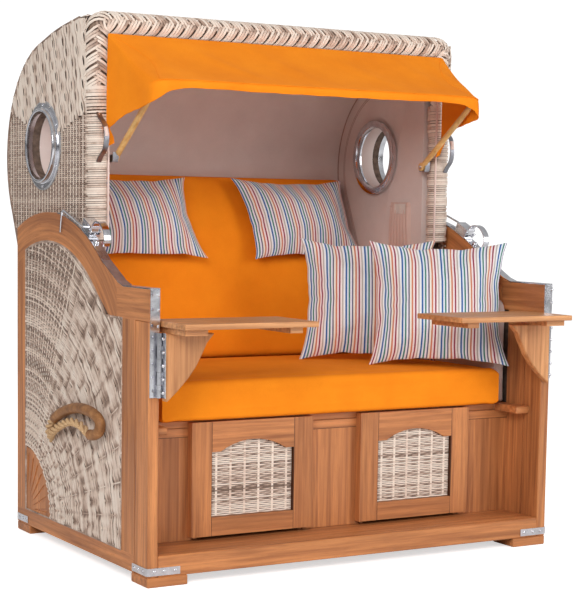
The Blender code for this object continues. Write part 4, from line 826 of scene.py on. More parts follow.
def wall_weave(side, name):
    """Plain weave low on one side wall, upright strands in patches above it."""
    across = np.arange(FRONT + 0.464, FRONT + 1.030, STAKE_PITCH / 2)
    heights = np.arange(0.60, 1.44, 0.0056)
    place, row = np.meshgrid(np.arange(len(across)), np.arange(len(heights)))
    wave = np.cos((place / 2 + row) * math.pi)
    centre = np.stack([side * wall_x(across[place], 0.0022 + 0.0017 * wave), across[place], heights[row] + 0 * wave],
                      axis=-1)
    spots = middles(centre)
    # Painted shade: the weavers are browner where they dip under a stake.
    lay_strands("wall_weave_" + name, centre, wide_along(centre, 2, 0.0019), STRAND_THICK, "hood", CANE,
                wall_seen(*spots) & ~in_patches(*spots), 21 + side, 0.5 * wave - 0.5, spread=0.35)
    stakes = across[::2, None]
    steps = np.linspace(0.60, 1.44, 60)[None, :]
    centre = np.stack(np.broadcast_arrays(side * wall_x(stakes, 0.0024), stakes, steps), axis=-1)
    spots = middles(centre)
    lay_strands("wall_stakes_" + name, centre, wide_along(centre, 1, 0.0024), 0.0012, "hood", PALE_CANE,
                wall_seen(*spots) & ~in_patches(*spots), 31 + side, np.full(centre.shape[:2], 0.4))
    columns = np.arange(FRONT + 0.40, FRONT + 1.06, 0.0058)
    levels = np.arange(1.02, 1.44, PATCH_HIGH / 4)
    place, row = np.meshgrid(np.arange(len(levels)), np.arange(len(columns)))
    group = (row + 3 * ((place + 2) // 8)) // 6
    phase = (place / 4 + group) * math.pi
    wave = np.tanh(2.0 * np.cos(phase))
    y = columns[row] + 0.0006 * np.sin(phase + 0.8) + 0.24 * (levels[place] - 1.20)
    centre = np.stack([side * wall_x(y, 0.0056 + 0.0016 * wave), y, levels[place] + 0 * y], axis=-1)
    spots = middles(centre)
    # Painted shade: strands browner where they dip; the group term is tone that differs from patch to patch.
    lay_strands("wall_patches_" + name, centre, wide_along(centre, 1, 0.0027), STRAND_THICK, "hood", PALE_CANE,
                wall_seen(*spots) & in_patches(*spots), 35 + side,
                0.40 * wave + 0.22 * np.sin(2.1 * group + 1.7 * (place // 8)))
    border = [(side * (HOOD_FACE + 0.0030), y, z) for y, z in HOOD_LINE[8:]]
    keep(bar(border, 0.0038), "wall_border_" + name, "hood", CANE, 60)


for side, name in SIDES:
    wall_weave(side, name)

# %% [markdown]
# The back and roof are one width of the same weave. The outline is walked in even steps, with its
# normal at each, so the weavers lie across the chair and the stakes follow the curve.

# %% Woven back and roof


def walk(line, pitch):
    """Even steps along a (y, z) line, and the outward normal at each."""
    points = np.array(line)
    lengths = np.concatenate([[0], np.cumsum(np.hypot(*np.diff(points, axis=0).T))])
    places = np.arange(0, lengths[-1], pitch)
    at = np.stack([np.interp(places, lengths, points[:, i]) for i in (0, 1)], axis=-1)
    way = np.gradient(at, axis=0)
    way /= np.linalg.norm(way, axis=1)[:, None]
    return at, np.stack([way[:, 1], -way[:, 0]], axis=-1), way


def back_weave():
    """Weavers and stakes over the back and roof."""
    half_width = HOOD_FACE - 0.006
    over = [*HOOD_LINE, (FRONT + 0.470, 1.4380)]
    at, out, way = walk(over, 0.0064)
    columns = np.linspace(-half_width, half_width, 55)
    place, row = np.meshgrid(np.arange(len(columns)), np.arange(len(at)))
    wave = np.cos((place + row) * math.pi)
    lift = 0.0022 + 0.0017 * wave
    centre = np.stack([columns[place], at[row, 0] + out[row, 0] * lift, at[row, 1] + out[row, 1] * lift], axis=-1)
    half = np.stack([0.0 * lift, way[row, 0], way[row, 1]], axis=-1) * 0.0027
    # Painted shade: the weavers are browner where they dip under a stake.
    lay_strands("back_weave", centre, half, STRAND_THICK, "hood", CANE, None, 41, 0.5 * wave - 0.2)
    at, out, way = walk(over, 0.020)
    place, row = np.meshgrid(np.arange(len(at)), np.arange(len(columns)))
    centre = np.stack([columns[row], at[place, 0] + out[place, 0] * 0.0018, at[place, 1] + out[place, 1] * 0.0018],
                      axis=-1)
    lay_strands("back_stakes", centre, wide_along(centre, 0, 0.0028), 0.0018, "hood", PALE_CANE, seed=43)


back_weave()

# %% [markdown]
# The rim is a padded rail. Its two posts are wrapped with flat cane, ring on ring, with a thicker
# binding where the wrap ends. Above that, and across the top, it is covered by a braid: bundles of
# three canes run in from both edges, and each dives under the next one from the other side. A brown
# core along the middle of the rail stands for the frame's own solid; its dark brown is painted shade
# where it shows between the canes.

# %% Core and wrapped posts of the rim
RIM_Y = FRONT + 0.472
RIM_HALF = 0.5575
RIM_TOP = 1.421
RIM_CORE = 0.0262
CORNER_RADIUS = 0.022
BRAID_LOW = 1.243


def rim_run(s):
    """Place, run and outward side of the rim at a distance from the left post's binding."""
    up = RIM_TOP - CORNER_RADIUS - BRAID_LOW
    turn_length = CORNER_RADIUS * math.pi / 2
    over = 2 * (RIM_HALF - CORNER_RADIUS)
    total = 2 * (up + turn_length) + over
    mirror = s > total / 2
    t = total - s if mirror else s
    if t < up:
        at, run = (-RIM_HALF, BRAID_LOW + t), (0.0, 1.0)
    elif t < up + turn_length:
        a = (t - up) / CORNER_RADIUS
        at = (-RIM_HALF + CORNER_RADIUS * (1 - math.cos(a)), RIM_TOP - CORNER_RADIUS * (1 - math.sin(a)))
        run = (math.sin(a), math.cos(a))
    else:
        at, run = (-RIM_HALF + CORNER_RADIUS + t - up - turn_length, RIM_TOP), (1.0, 0.0)
    if mirror:
        at, run = (-at[0], at[1]), (run[0], -run[1])
    return Vector((at[0], RIM_Y, at[1])), Vector((run[0], 0, run[1])), Vector((-run[1], 0, run[0])), total


rail_total = rim_run(0.0)[3]
rail = [tuple(rim_run(rail_total * i / 80)[0]) for i in range(81)]
rail = [(-RIM_HALF, RIM_Y, 0.845), *rail, (RIM_HALF, RIM_Y, 0.845)]
core = keep(bar(rail, RIM_CORE, sides=4), "rim_core", "hood", CORE, 60)
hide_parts("hood_rim")


def post_wrap(side, name):
    """Cane rings up one post of the rim."""
    around = np.radians(np.linspace(0, 360, 25))
    for label, low, high, pitch, radius, seed in (("post_wrap_", 0.848, 1.176, 0.0060, 0.0294, 51),
                                                  ("post_binding_", 1.172, 1.246, 0.0090, 0.0322, 55)):
        heights = np.arange(low, high, pitch)
        width = np.random.default_rng(seed + side).choice((0.30, 0.42, 0.47), len(heights))[:, None]
        turn, height = np.meshgrid(around, heights)
        grow = radius + 0.0014 * (width - 0.4) / 0.1
        centre = np.stack([side * RIM_HALF + grow * np.cos(turn), RIM_Y + grow * np.sin(turn),
                           height + pitch * turn / math.tau], axis=-1)
        lay_strands(label + name, centre, wide_along(centre, 2, pitch * width), 0.0020, "hood", PALE_CANE, None,
                    seed + side, spread=0.6)


for side, name in SIDES:
    post_wrap(side, name)

# %% Braid over the top of the rim
BRAID_PITCH = 0.0330
BRAID_ADVANCE = 0.050
BRAID_FACE_DEG = 20.0
CANE_SPACING = 0.0090
BRAID_STEPS = 11


def braid():
    """Bundles of three canes from both edges of the rail, each crossing the middle."""
    steps = BRAID_STEPS
    lines, halves = [], []
    for k in range(-2, int(rail_total / BRAID_PITCH) + 1):
        for way in (-1, 1):
            for cane_at in (-1.0, 0.0, 1.0):
                spots, normals = [], []
                for i in range(steps):
                    t = i / (steps - 1)
                    s = (k + 0.5 * (way > 0)) * BRAID_PITCH + cane_at * CANE_SPACING + BRAID_ADVANCE * t
                    at, _, out, _ = rim_run(min(max(s, 0.0), rail_total))
                    turn = math.radians(BRAID_FACE_DEG + way * (122.0 - 150.0 * t))
                    normal = Vector((0, -1, 0)) * math.cos(turn) + out * math.sin(turn)
                    rise = math.sin(math.pi * min(1.0, 1.12 * t)) ** 0.6 if t < 0.89 else 0.0
                    spots.append(at + normal * (RIM_CORE + 0.0066 * rise))
                    normals.append(normal)
                for i in range(steps):
                    run = spots[min(i + 1, steps - 1)] - spots[max(i - 1, 0)]
                    if run.length < 1e-5:
                        run = Vector((0, 1, 0))
                    halves.append(run.cross(normals[i]).normalized() * (0.0036 - 0.0010 * (i / (steps - 1)) ** 2))
                lines.append([tuple(spot) for spot in spots])
    centre = np.array(lines)
    half = np.array([tuple(h) for h in halves]).reshape(len(lines), steps, 3)
    # Painted shade: each cane is browner towards its end, where it dives under the next bundle.
    dip = np.broadcast_to(0.35 - 1.5 * np.linspace(0, 1, steps) ** 4, (len(lines), steps))
    lay_strands("rim_braid", centre, half, 0.0024, "hood", PALE_CANE, None, 61, dip)


braid()
for side, name in SIDES:
    piping = [(side * 0.5330, FRONT + 0.4475, z) for z in np.linspace(0.850, 1.386, 30)]
    piping += [(side * x, FRONT + 0.4475, 1.3905) for x in np.linspace(0.5285, 0.0, 30)]
    keep(bar(piping, 0.0030), "rim_piping_" + name, "hood", PALE_PIPING, 60)

# %% [markdown]
# The windows of the footrests are small woven panels: pale stakes with single weavers, browner in
# two bands. They lie just in front of the frame's own thin insert.

# %% Woven footrest windows
WINDOW_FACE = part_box("footrest_wicker_left")[0].y


def window_weave(side, name):
    """One footrest window."""
    low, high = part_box("footrest_wicker_" + name)
    middle_x = (low.x + high.x) / 2
    half_wide = (high.x - low.x) / 2
    shoulder = half_wide - 0.026
    rise = 0.028
    radius = (shoulder**2 + rise**2) / (2 * rise)
    columns = np.linspace(low.x + 0.002, high.x - 0.002, 47)
    rows = np.arange(low.z + 0.003, high.z, 0.0050)
    place, row = np.meshgrid(np.arange(len(columns)), np.arange(len(rows)))
    wave = np.cos((place / 4 + row) * math.pi)
    centre = np.stack([columns[place], WINDOW_FACE - 0.0020 - 0.0015 * wave, rows[row]], axis=-1)
    up = rows[row] - low.z
    bands = np.exp(-((up - 0.070) / 0.010) ** 2) + np.exp(-((up - 0.128) / 0.007) ** 2)

    def seen(strands):
        middle = (strands[:, 1:] + strands[:, :-1]) / 2
        off = np.abs(middle[..., 0] - middle_x)
        crown = high.z - radius + np.sqrt(np.maximum(radius**2 - off**2, 0))
        return np.where(off < shoulder, middle[..., 2] < crown, middle[..., 2] < high.z - rise)

    # Painted shade: the weavers are browner where they dip; the two bands are browner cane.
    lay_strands("footrest_weave_" + name, centre, wide_along(centre, 2, 0.0018), 0.0012, "footrest_" + name,
                PALE_CANE, seen(centre), 71 + side, 0.5 * wave - 0.9 * bands + 0.1)
    stakes = columns[3::8]
    steps = np.linspace(low.z + 0.002, high.z - 0.002, 24)
    centre = np.stack(np.broadcast_arrays(stakes[:, None], WINDOW_FACE - 0.0020, steps[None, :]), axis=-1)
    lay_strands("footrest_stakes_" + name, centre, wide_along(centre, 0, 0.0030), 0.0012, "footrest_" + name,
                PALE_CANE, seen(centre), 81 + side, np.full(centre.shape[:2], 0.5))


for side, name in SIDES:
    window_weave(side, name)

# %% [markdown]
# Now the soft goods. Each starts from simple geometry, is blown up by a short cloth simulation with
# pressure inside and no gravity, and is then fitted back to the room that the frame gives it. Frame
# nodes are loose triangles, so a copy of one is merged before anything else.

# %% Helpers for soft goods
MERGE = 0.00002


def copy_of(node):
    """A merged copy of one frame node's mesh."""
    piece = start(bpy.ops.mesh.primitive_plane_add, size=1.0)
    piece.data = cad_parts[node].data.copy()
    piece.data.materials.clear()
    in_edit((bpy.ops.mesh.remove_doubles, {"threshold": MERGE}))
    return piece


def points_of(piece):
    """The mesh's points as an array."""
    flat = np.empty(3 * len(piece.data.vertices), np.float32)
    piece.data.vertices.foreach_get("co", flat)
    return flat.reshape(-1, 3).astype(float)


def move_points(piece, points):
    """Writes an array of points back."""
    piece.data.vertices.foreach_set("co", points.astype(np.float32).ravel())
    piece.data.update()


def blow_up(piece, pressure, frames=20, stiffness=15.0, bending=0.5):
    """Cloth with pressure inside and no gravity, applied to the mesh."""
    only(piece)
    stuffing = piece.modifiers.new("stuffing", "CLOTH")
    how = stuffing.settings
    how.quality = 5
    how.tension_stiffness = stiffness
    how.compression_stiffness = stiffness
    how.shear_stiffness = stiffness / 3
    how.bending_stiffness = bending
    how.use_pressure = True
    how.uniform_pressure_force = pressure
    how.effector_weights.gravity = 0.0
    stuffing.collision_settings.use_collision = False
    stuffing.point_cache.frame_end = frames
    for number in range(1, frames + 1):
        bpy.context.scene.frame_set(number)
    bpy.ops.object.modifier_apply(modifier=stuffing.name)
    bpy.context.scene.frame_set(1)


def fit_to(points, low, high):
    """Stretches points so their box is exactly low to high."""
    least, most = points.min(axis=0), points.max(axis=0)
    return (points - least) / (most - least) * (np.array(high) - np.array(low)) + np.array(low)


# %% [markdown]
# A pillow is two square panels sewn round the rim. A flat grid gets a thin rim with Solidify, and
# pressure fills it. The seams hold the sides nearly straight, so most of the drawing in is taken out
# again, and each side is given its own slight hollow between short pointed corners. The stripes need
# the cloth's own width, so that is stored before it is blown up.

# %% Four striped pillows


def striped_pillow(name, node, body, wide, high, thick, lean_deg, turn_deg, slant, shift, seed, aside=0.0):
    """One pillow, blown up flat and then stood where the frame has it."""
    piece = start(bpy.ops.mesh.primitive_grid_add, x_subdivisions=56, y_subdivisions=48, size=1.0)
    flat = points_of(piece)
    flat[:, 0] *= wide * 1.06
    flat[:, 1] *= high * 1.06
    move_points(piece, flat)
    thicken(piece, 0.003)
    finish_modifiers(piece)
    shape = points_of(piece)
    across = piece.data.attributes.new("across", "FLOAT", "POINT")
    across.data.foreach_set("value", (shape[:, 0] + 1.0 + shift).astype(np.float32))
    u, v = shape[:, 0] / (wide * 0.53), shape[:, 1] / (high * 0.53)
    swell = np.clip((1 - u**2) * (1 - v**2), 0, 1) ** 0.42
    rng = np.random.default_rng(seed)
    way = np.sign(shape[:, 2])
    shape[:, 2] += way * swell * thick * 0.20
    for _ in range(5):
        a, b, c = rng.uniform(9, 26), rng.uniform(9, 26), rng.uniform(0, 6)
        shape[:, 2] += way * swell * 0.0012 * np.sin(a * shape[:, 0] + b * shape[:, 1] + c)
    move_points(piece, shape)
    flat_shape = shape
    blow_up(piece, 5.0, 22, 12.0, 0.15)
    shape = points_of(piece)
    blown = fit_to(shape, flat_shape.min(axis=0), flat_shape.max(axis=0))
    shape = np.stack([*(flat_shape + 0.22 * (blown - flat_shape))[:, :2].T, shape[:, 2]], axis=-1)
    shape[:, 0] *= 1 - 0.075 * (1 - np.abs(v) ** 5)
    shape[:, 1] *= 1 - 0.050 * (1 - np.abs(u) ** 5)
    shape = fit_to(shape, (-wide / 2, -high / 2, -thick / 2), (wide / 2, high / 2, thick / 2))
    shape[:, 0] -= slant * shape[:, 1]
    low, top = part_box(node)
    matrix = np.array(Matrix.Translation((low + top) / 2 + Vector((aside, 0, 0)))
                      @ Matrix.Rotation(math.radians(turn_deg), 4, "Z")
                      @ Matrix.Rotation(math.radians(lean_deg), 4, "X"))
    move_points(piece, shape @ matrix[:3, :3].T + matrix[:3, 3])
    smooth = piece.modifiers.new("smooth cloth", "SUBSURF")
    smooth.levels = smooth.render_levels = 1
    finish_modifiers(piece)
    keep(piece, name, body, STRIPED, 80)
    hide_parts(node)
    return piece


striped_pillow("pillow_front", "throw_pillow_right", "base", 0.405, 0.364, 0.112, 76.0, -29.0, 0.0, 0.005, 3, 0.008)
striped_pillow("pillow_behind", "throw_pillow_left", "base", 0.402, 0.364, 0.112, 76.0, -29.0, 0.0, 0.021, 4, 0.008)
striped_pillow("head_pillow_l", "head_pillow_left", "hood", 0.424, 0.266, 0.098, 65.67, 0.0, 0.10, 0.012, 5)
striped_pillow("head_pillow_r", "head_pillow_right", "hood", 0.404, 0.272, 0.098, 65.67, 0.0, 0.11, 0.033, 6, -0.010)

# %% [markdown]
# The long cushions and the side pads are foam in a cloth cover. A voxel remesh gives an even mesh,
# the pressure rounds the faces, the swelling is capped, and the result is fitted to the frame's box.
# The seat cushion's front edges are then pushed out again, since its cover is boxed there.

# %% Orange cushions and taupe pads


def squared(points, low, high, reach):
    """Pushes the rounded front edges of a cushion out towards the corners of its box."""
    low, high = np.array(low), np.array(high)
    from_face = np.minimum(points - low, high - points)
    t = np.clip(1 - from_face / reach, 0, 1)
    scale = np.linalg.norm(t, axis=1, keepdims=True) / np.maximum((t**5).sum(axis=1, keepdims=True) ** 0.2, 1e-9)
    moved = reach * (1 - np.clip(t * scale, 0, 1))
    spot = np.where(points - low < high - points, low + moved, high - moved)
    share = np.clip((FRONT + 0.54 - points[:, 1:2]) / 0.12, 0, 1)
    return points + np.where(t > 0, spot - points, 0) * share


def foam_cushion(name, node, body, material, voxel, cap, levels=1, square=0.0):
    """A cushion blown up from a slightly smaller copy of its solid."""
    low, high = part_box(node)
    piece = copy_of(node)
    even = piece.modifiers.new("even mesh", "REMESH")
    even.mode = "VOXEL"
    even.voxel_size = voxel
    even.adaptivity = 0.0
    finish_modifiers(piece)
    middle = (np.array(low) + np.array(high)) / 2
    small = middle + (points_of(piece) - middle) * 0.985
    move_points(piece, small)
    blow_up(piece, 4.0, 20, 25.0, 2.0)
    way = points_of(piece) - small
    reach = np.linalg.norm(way, axis=1, keepdims=True)
    move_points(piece, small + way * np.minimum(1.0, cap / np.maximum(reach, 1e-9)))
    even_out = piece.modifiers.new("even out", "SMOOTH")
    even_out.factor = 0.5
    even_out.iterations = 2
    if levels:
        smooth = piece.modifiers.new("smooth cloth", "SUBSURF")
        smooth.levels = smooth.render_levels = levels
    finish_modifiers(piece)
    shape = fit_to(points_of(piece), low, high)
    move_points(piece, squared(shape, low, high, square) if square else shape)
    keep(piece, name, body, material, 80)
    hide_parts(node)
    return piece


foam_cushion("seat_pad", "seat_cushion", "base", ORANGE, 0.009, 0.0045, square=0.052)
foam_cushion("back_pad", "back_cushion", "hood", ORANGE, 0.009, 0.0050)
for side in ("left", "right"):
    foam_cushion("side_padding_" + side, "side_pad_" + side, "base", TAUPE, 0.006, 0.006, 0)

# %% [markdown]
# The hood is lined with taupe cloth over thin padding. The lining is a softened copy of its solid,
# and where the back's panel meets the side walls a double seam follows the curve of the back.

# %% Lining of the hood
lining = copy_of("hood_lining")
soft_edge = lining.modifiers.new("soft edge", "BEVEL")
soft_edge.width = 0.004
soft_edge.segments = 3
soft_edge.limit_method = "ANGLE"
soft_edge.angle_limit = math.radians(40)
finish_modifiers(lining)
keep(lining, "lining_padding", "hood", TAUPE, 40)
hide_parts("hood_lining")
LINING_DEPTH = 0.0443
LINING_FACE = 0.525


def inset_line(depth, low):
    """The hood's outline moved in by a depth, above a height."""
    at, out, _ = walk(HOOD_LINE, 0.012)
    return [(y - n[0] * depth, z - n[1] * depth) for (y, z), n in zip(at, out) if z - n[1] * depth > low]


def seam(name, line, radius, body, material):
    """A welt along a line of points."""
    return keep(bar(line, radius), name, body, material, 60)


for side, name in SIDES:
    for number, depth in enumerate((LINING_DEPTH + 0.034, LINING_DEPTH + 0.040)):
        line = [(side * (LINING_FACE - 0.0002), y, z) for y, z in inset_line(depth, 0.56)]
        seam(f"lining_seam_{number}_{name}", line[:-2], 0.0009, "hood", PIPING)
    corner = [(side * (LINING_FACE - 0.001), y, z) for y, z in inset_line(LINING_DEPTH + 0.001, 0.56)]
    seam("lining_welt_" + name, corner[:-2], 0.0022, "hood", PIPING)

# %% [markdown]
# The pocket is a gathered cloth bag on the right wall with an elastic hem and a plain sewn tag.
# Its front is a sheet pushed out into pleats that open downwards from the gathers.

# %% Pocket
POCKET_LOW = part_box("pocket")[0]
POCKET_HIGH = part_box("pocket")[1]


def pocket_bag():
    """The pleated front, closed to the wall at its sides and bottom."""
    columns, rows = 97, 33
    piece = start(bpy.ops.mesh.primitive_grid_add, x_subdivisions=columns - 1, y_subdivisions=rows - 1, size=1.0)
    flat = points_of(piece)
    u, v = flat[:, 0] * 2, flat[:, 1] + 0.5
    middle = (POCKET_LOW.y + POCKET_HIGH.y) / 2
    half = (POCKET_HIGH.y - POCKET_LOW.y) / 2
    narrow = 0.86 + 0.14 * (1 - v) ** 0.7
    y = middle + u * half * narrow
    z = POCKET_LOW.z + v * (POCKET_HIGH.z - POCKET_LOW.z)
    edge = np.clip((1 - np.abs(u) ** 8) * (1 - (1 - v) ** 10), 0, 1) ** 0.5
    bulge = 0.0052 + 0.0040 * np.sin(math.pi * np.clip(1 - v, 0, 1) ** 0.8)
    pleat = 0.0017 * np.sin(v * 2.6) * np.cos(u * 21 + 2.2 * v * u) * (v < 0.985)
    x = POCKET_HIGH.x - edge * (bulge + pleat + 0.0016) + 0.0002
    move_points(piece, np.stack([x, y, z], axis=-1))
    only(piece)
    in_edit((bpy.ops.mesh.normals_make_consistent, {"inside": False}))
    thicken(piece, 0.0010)
    finish_modifiers(piece)
    keep(piece, "pocket_bag", "hood", POCKET_CLOTH, 80)
    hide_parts("pocket")
    hem = [(POCKET_HIGH.x - 0.0080 - 0.0007 * math.cos(9 * u), middle + u * half * 0.84, POCKET_HIGH.z - 0.012)
           for u in np.linspace(-1, 1, 25)]
    hem = [(POCKET_HIGH.x, hem[0][1] - 0.003, hem[0][2]), *hem, (POCKET_HIGH.x, hem[-1][1] + 0.003, hem[-1][2])]
    seam("pocket_elastic", hem, 0.0014, "hood", POCKET_CLOTH)
    return piece


pocket_bag()

# %% Plain tag on the pocket
TAG_CLOTH = cloth("cream tag", (0.62, 0.54, 0.48), (0.74, 0.67, 0.61), 0.1, 220.0)
tag = start(bpy.ops.mesh.primitive_grid_add, x_subdivisions=16, y_subdivisions=10, size=1.0)
flat = points_of(tag)
tag_y = POCKET_LOW.y + 0.050 + flat[:, 0] * 0.058
tag_z = POCKET_HIGH.z - 0.020 + flat[:, 1] * 0.030
tag_x = POCKET_HIGH.x - 0.0108 - 0.0006 * np.cos(flat[:, 0] * 9)
move_points(tag, np.stack([tag_x, tag_y, tag_z], axis=-1))
thicken(tag, 0.0008)
finish_modifiers(tag)
keep(tag, "pocket_tag", "hood", TAG_CLOTH, 60)

# %% [markdown]
# The sun blind is one sheet. It hangs from the rim's lower edge and both posts, runs over the bow's
# front bar, and ends in a hem that folds down over the bar and along the two wings. It is laid
# between those two lines, sags a little, and gets a few soft folds running out from the rim.

# %% Sun blind
blind_top_y = FRONT + 0.4375
bar_y = FRONT + 0.2040


def both_halves(half, sharp=False):
    """A line from the left post's foot to the middle, mirrored to the right; the middle point is last."""
    whole = [*half, *[(-x, y, z) for x, y, z in reversed(half[:-1])]]
    if not sharp:
        return np.array(through(whole, 14))
    places = np.linspace(0, len(whole) - 1, 14 * (len(whole) - 1) + 1)
    return np.stack([np.interp(places, range(len(whole)), [p[i] for p in whole]) for i in range(3)], axis=-1)


rim_line = both_halves([(-0.5440, blind_top_y, 1.146), (-0.5440, blind_top_y, 1.235), (-0.5430, blind_top_y, 1.325),
                        (-0.5410, blind_top_y, 1.393), (-0.420, blind_top_y, 1.393), (-0.200, blind_top_y, 1.393),
                        (0.0, blind_top_y, 1.393)], sharp=True)
fold_line = both_halves([(-0.541, blind_top_y - 0.003, 1.148), (-0.530, FRONT + 0.372, 1.193),
                         (-0.521, FRONT + 0.290, 1.228), (-0.509, FRONT + 0.214, 1.258),
                         (-0.420, bar_y, 1.2635), (-0.200, bar_y, 1.2635), (0.0, bar_y, 1.2635)])
edge_line = both_halves([(-0.540, blind_top_y - 0.004, 1.144), (-0.529, FRONT + 0.3615, 1.176),
                         (-0.520, FRONT + 0.280, 1.193), (-0.511, FRONT + 0.2124, 1.210),
                         (-0.434, bar_y - 0.001, 1.2430), (-0.200, bar_y - 0.001, 1.2435),
                         (0.0, bar_y - 0.001, 1.2435)])
BLIND_ROWS = 20
HEM_ROWS = 6
FOLDS = ((-0.36, 0.22, 0.0045, 0.028), (-0.13, 0.16, 0.0040, 0.034), (0.10, 0.20, 0.0042, 0.040),
         (0.33, 0.14, 0.0036, 0.034), (-0.47, 0.05, 0.0040, 0.022), (0.46, 0.08, 0.0040, 0.022))


def blind_point(column, share):
    """A point of the blind between the rim, at share 0, and its fold over the bar, at share 1."""
    a, b = rim_line[column], fold_line[column]
    at = a + (b - a) * share
    middle = 4 * share * (1 - share)
    reach = min(1.0, np.linalg.norm(b - a) / 0.2)
    at[2] -= 0.012 * middle * reach
    for start_x, slope, depth, width in FOLDS:
        off = (at[0] - start_x - slope * share) / width
        at += np.array([0, -0.75, 0.65]) * depth * middle * reach * math.exp(-off * off)
    return at


def sun_blind():
    """The sheet, its hem, its sewn darts and its stitching."""
    columns = len(rim_line)
    rows = [[blind_point(c, j / BLIND_ROWS) for c in range(columns)] for j in range(BLIND_ROWS + 1)]
    for j in range(1, HEM_ROWS + 1):
        share = j / HEM_ROWS
        rows.append([fold_line[c] + (edge_line[c] - fold_line[c]) * share
                     + np.array([0.0, -0.0022 * math.sin(math.pi * share), 0.0007 * math.sin(c * 0.9) * share])
                     for c in range(columns)])
    piece = start(bpy.ops.mesh.primitive_grid_add, x_subdivisions=columns - 1, y_subdivisions=len(rows) - 1, size=1.0)
    move_points(piece, np.array(rows).reshape(-1, 3))
    only(piece)
    in_edit((bpy.ops.mesh.normals_make_consistent, {"inside": False}))
    thicken(piece, 0.0016)
    smooth = piece.modifiers.new("smooth cloth", "SUBSURF")
    smooth.levels = smooth.render_levels = 1
    finish_modifiers(piece)
    keep(piece, "sun_blind", None, ORANGE, 80)
    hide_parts("blind_cloth")
    trims = []
    for side, label in ((1, "left"), (-1, "right")):
        line = []
        for j in range(1, 21):
            share = j / 20
            place = 43 + 6 * math.sin(math.pi * share) ** 1.2 + 2 * share
            low, part = int(place), place - int(place)
            ends = [blind_point(c if side > 0 else columns - 1 - c, share) for c in (low, low + 1)]
            at = ends[0] + (ends[1] - ends[0]) * part
            line.append(tuple(at + np.array([-0.0004 * side, -0.0006, 0.0006])))
        trims.append(seam("blind_dart_" + label, through(line, 3), 0.0011, None, ORANGE))
        tie = [(-side * 0.550, blind_top_y - 0.005, 1.150), (-side * 0.543, blind_top_y - 0.008, 1.134),
               (-side * 0.534, blind_top_y - 0.007, 1.118), (-side * 0.530, blind_top_y - 0.004, 1.102)]
        strip = start(bpy.ops.mesh.primitive_grid_add, x_subdivisions=3, y_subdivisions=1, size=1.0)
        move_points(strip, np.array([(x + way * wide, y, z + way * 0.004) for way, wide in ((-1, 0.008), (1, 0.008))
                                     for x, y, z in tie]))
        thicken(strip, 0.0018, -1.0)
        finish_modifiers(strip)
        trims.append(keep(strip, "blind_tie_" + label, None, ORANGE, 60))
    trims.append(seam("blind_hem_edge", rows[-1][::2], 0.0015, None, ORANGE))
    trims.append(seam("blind_hem_seam", [p + np.array([0, -0.0012, 0.0004]) for p in rows[BLIND_ROWS]][::2], 0.0010,
                      None, ORANGE))
    for trim in [piece, *trims]:
        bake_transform(trim)


sun_blind()

# %% [markdown]
# The blind's bow is one bent rod of pale wood, thinner where it runs inside the hem. Each end has a
# flat eye on a steel pin in the post.

# %% Bow of the blind
BOW_PIN_Z = 1.0705


def blind_bow():
    """Two arms, a front bar and two eyes."""
    arm = [(-0.500, FRONT + 0.472, BOW_PIN_Z), (-0.500, FRONT + 0.400, 1.1215), (-0.500, FRONT + 0.320, 1.1785),
           (-0.499, FRONT + 0.250, 1.2285), (-0.490, FRONT + 0.219, 1.2490), (-0.465, FRONT + 0.2135, 1.2540),
           (-0.300, FRONT + 0.2130, 1.2545), (0.0, FRONT + 0.2130, 1.2545)]
    line = through([*arm, *[(-x, y, z) for x, y, z in reversed(arm[:-1])]], 5)
    rod = bar(line, 0.0082, sides=4)
    parts = [rod]
    for side in (-1, 1):
        eye = start(bpy.ops.mesh.primitive_cylinder_add, vertices=32, radius=0.0125, depth=0.012,
                    location=(side * 0.500, FRONT + 0.472, BOW_PIN_Z), rotation=(0, math.radians(90), 0))
        eased = eye.modifiers.new("eased", "BEVEL")
        eased.width = 0.002
        eased.segments = 3
        finish_modifiers(eye)
        parts.append(eye)
    bow = keep(as_one(parts), "bow_rod", "bow", BOW_WOOD, 40)
    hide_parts("blind_bow")


blind_bow()

# %% [markdown]
# The carrying handles are loops of thick three-strand rope through the wicker, with a leather sleeve
# for the hand at the front. The strands wind round the loop's own curve, and the sleeve is a tube
# that follows it.

# %% Rope handles
LEATHER, tree, shader = new_material("brown leather", Specular_IOR_Level=0.35)
hide = put(tree, "TexNoise", {"Vector": place_of(tree), "Scale": 34.0, "Detail": 5.0, "Roughness": 0.7}).outputs[0]
pebble = put(tree, "TexVoronoi", {"Vector": place_of(tree), "Scale": 620.0}).outputs[0]
tree.links.new(ramp(tree, hide, [(0.30, (0.160, 0.062, 0.020)), (0.55, (0.34, 0.150, 0.052)),
                                 (0.75, (0.50, 0.250, 0.100))]), shader.inputs["Base Color"])
tree.links.new(math_of(tree, "MULTIPLY_ADD", hide, 0.25, 0.42), shader.inputs["Roughness"])
bump(tree, shader, pebble, 0.0004, 0.4)
ROPE_ROUTE = [(0.6240, 0.622, 0.304), (0.6360, 0.606, 0.322), (0.6460, 0.560, 0.352), (0.6500, 0.480, 0.386),
              (0.6500, 0.380, 0.409), (0.6500, 0.290, 0.408), (0.6500, 0.236, 0.390), (0.6510, 0.240, 0.362),
              (0.6540, 0.286, 0.350), (0.6570, 0.345, 0.368), (0.6580, 0.405, 0.3700), (0.6560, 0.4766, 0.3520),
              (0.6480, 0.555, 0.322), (0.6330, 0.600, 0.305), (0.6240, 0.614, 0.296)]
SLEEVE_SPAN = (0.17, 0.58)
ROPE_PITCH = 0.090
STRAND_OFFSET = 0.0066
STRAND_RADIUS = 0.0049
SLEEVE_RADIUS = 0.0142


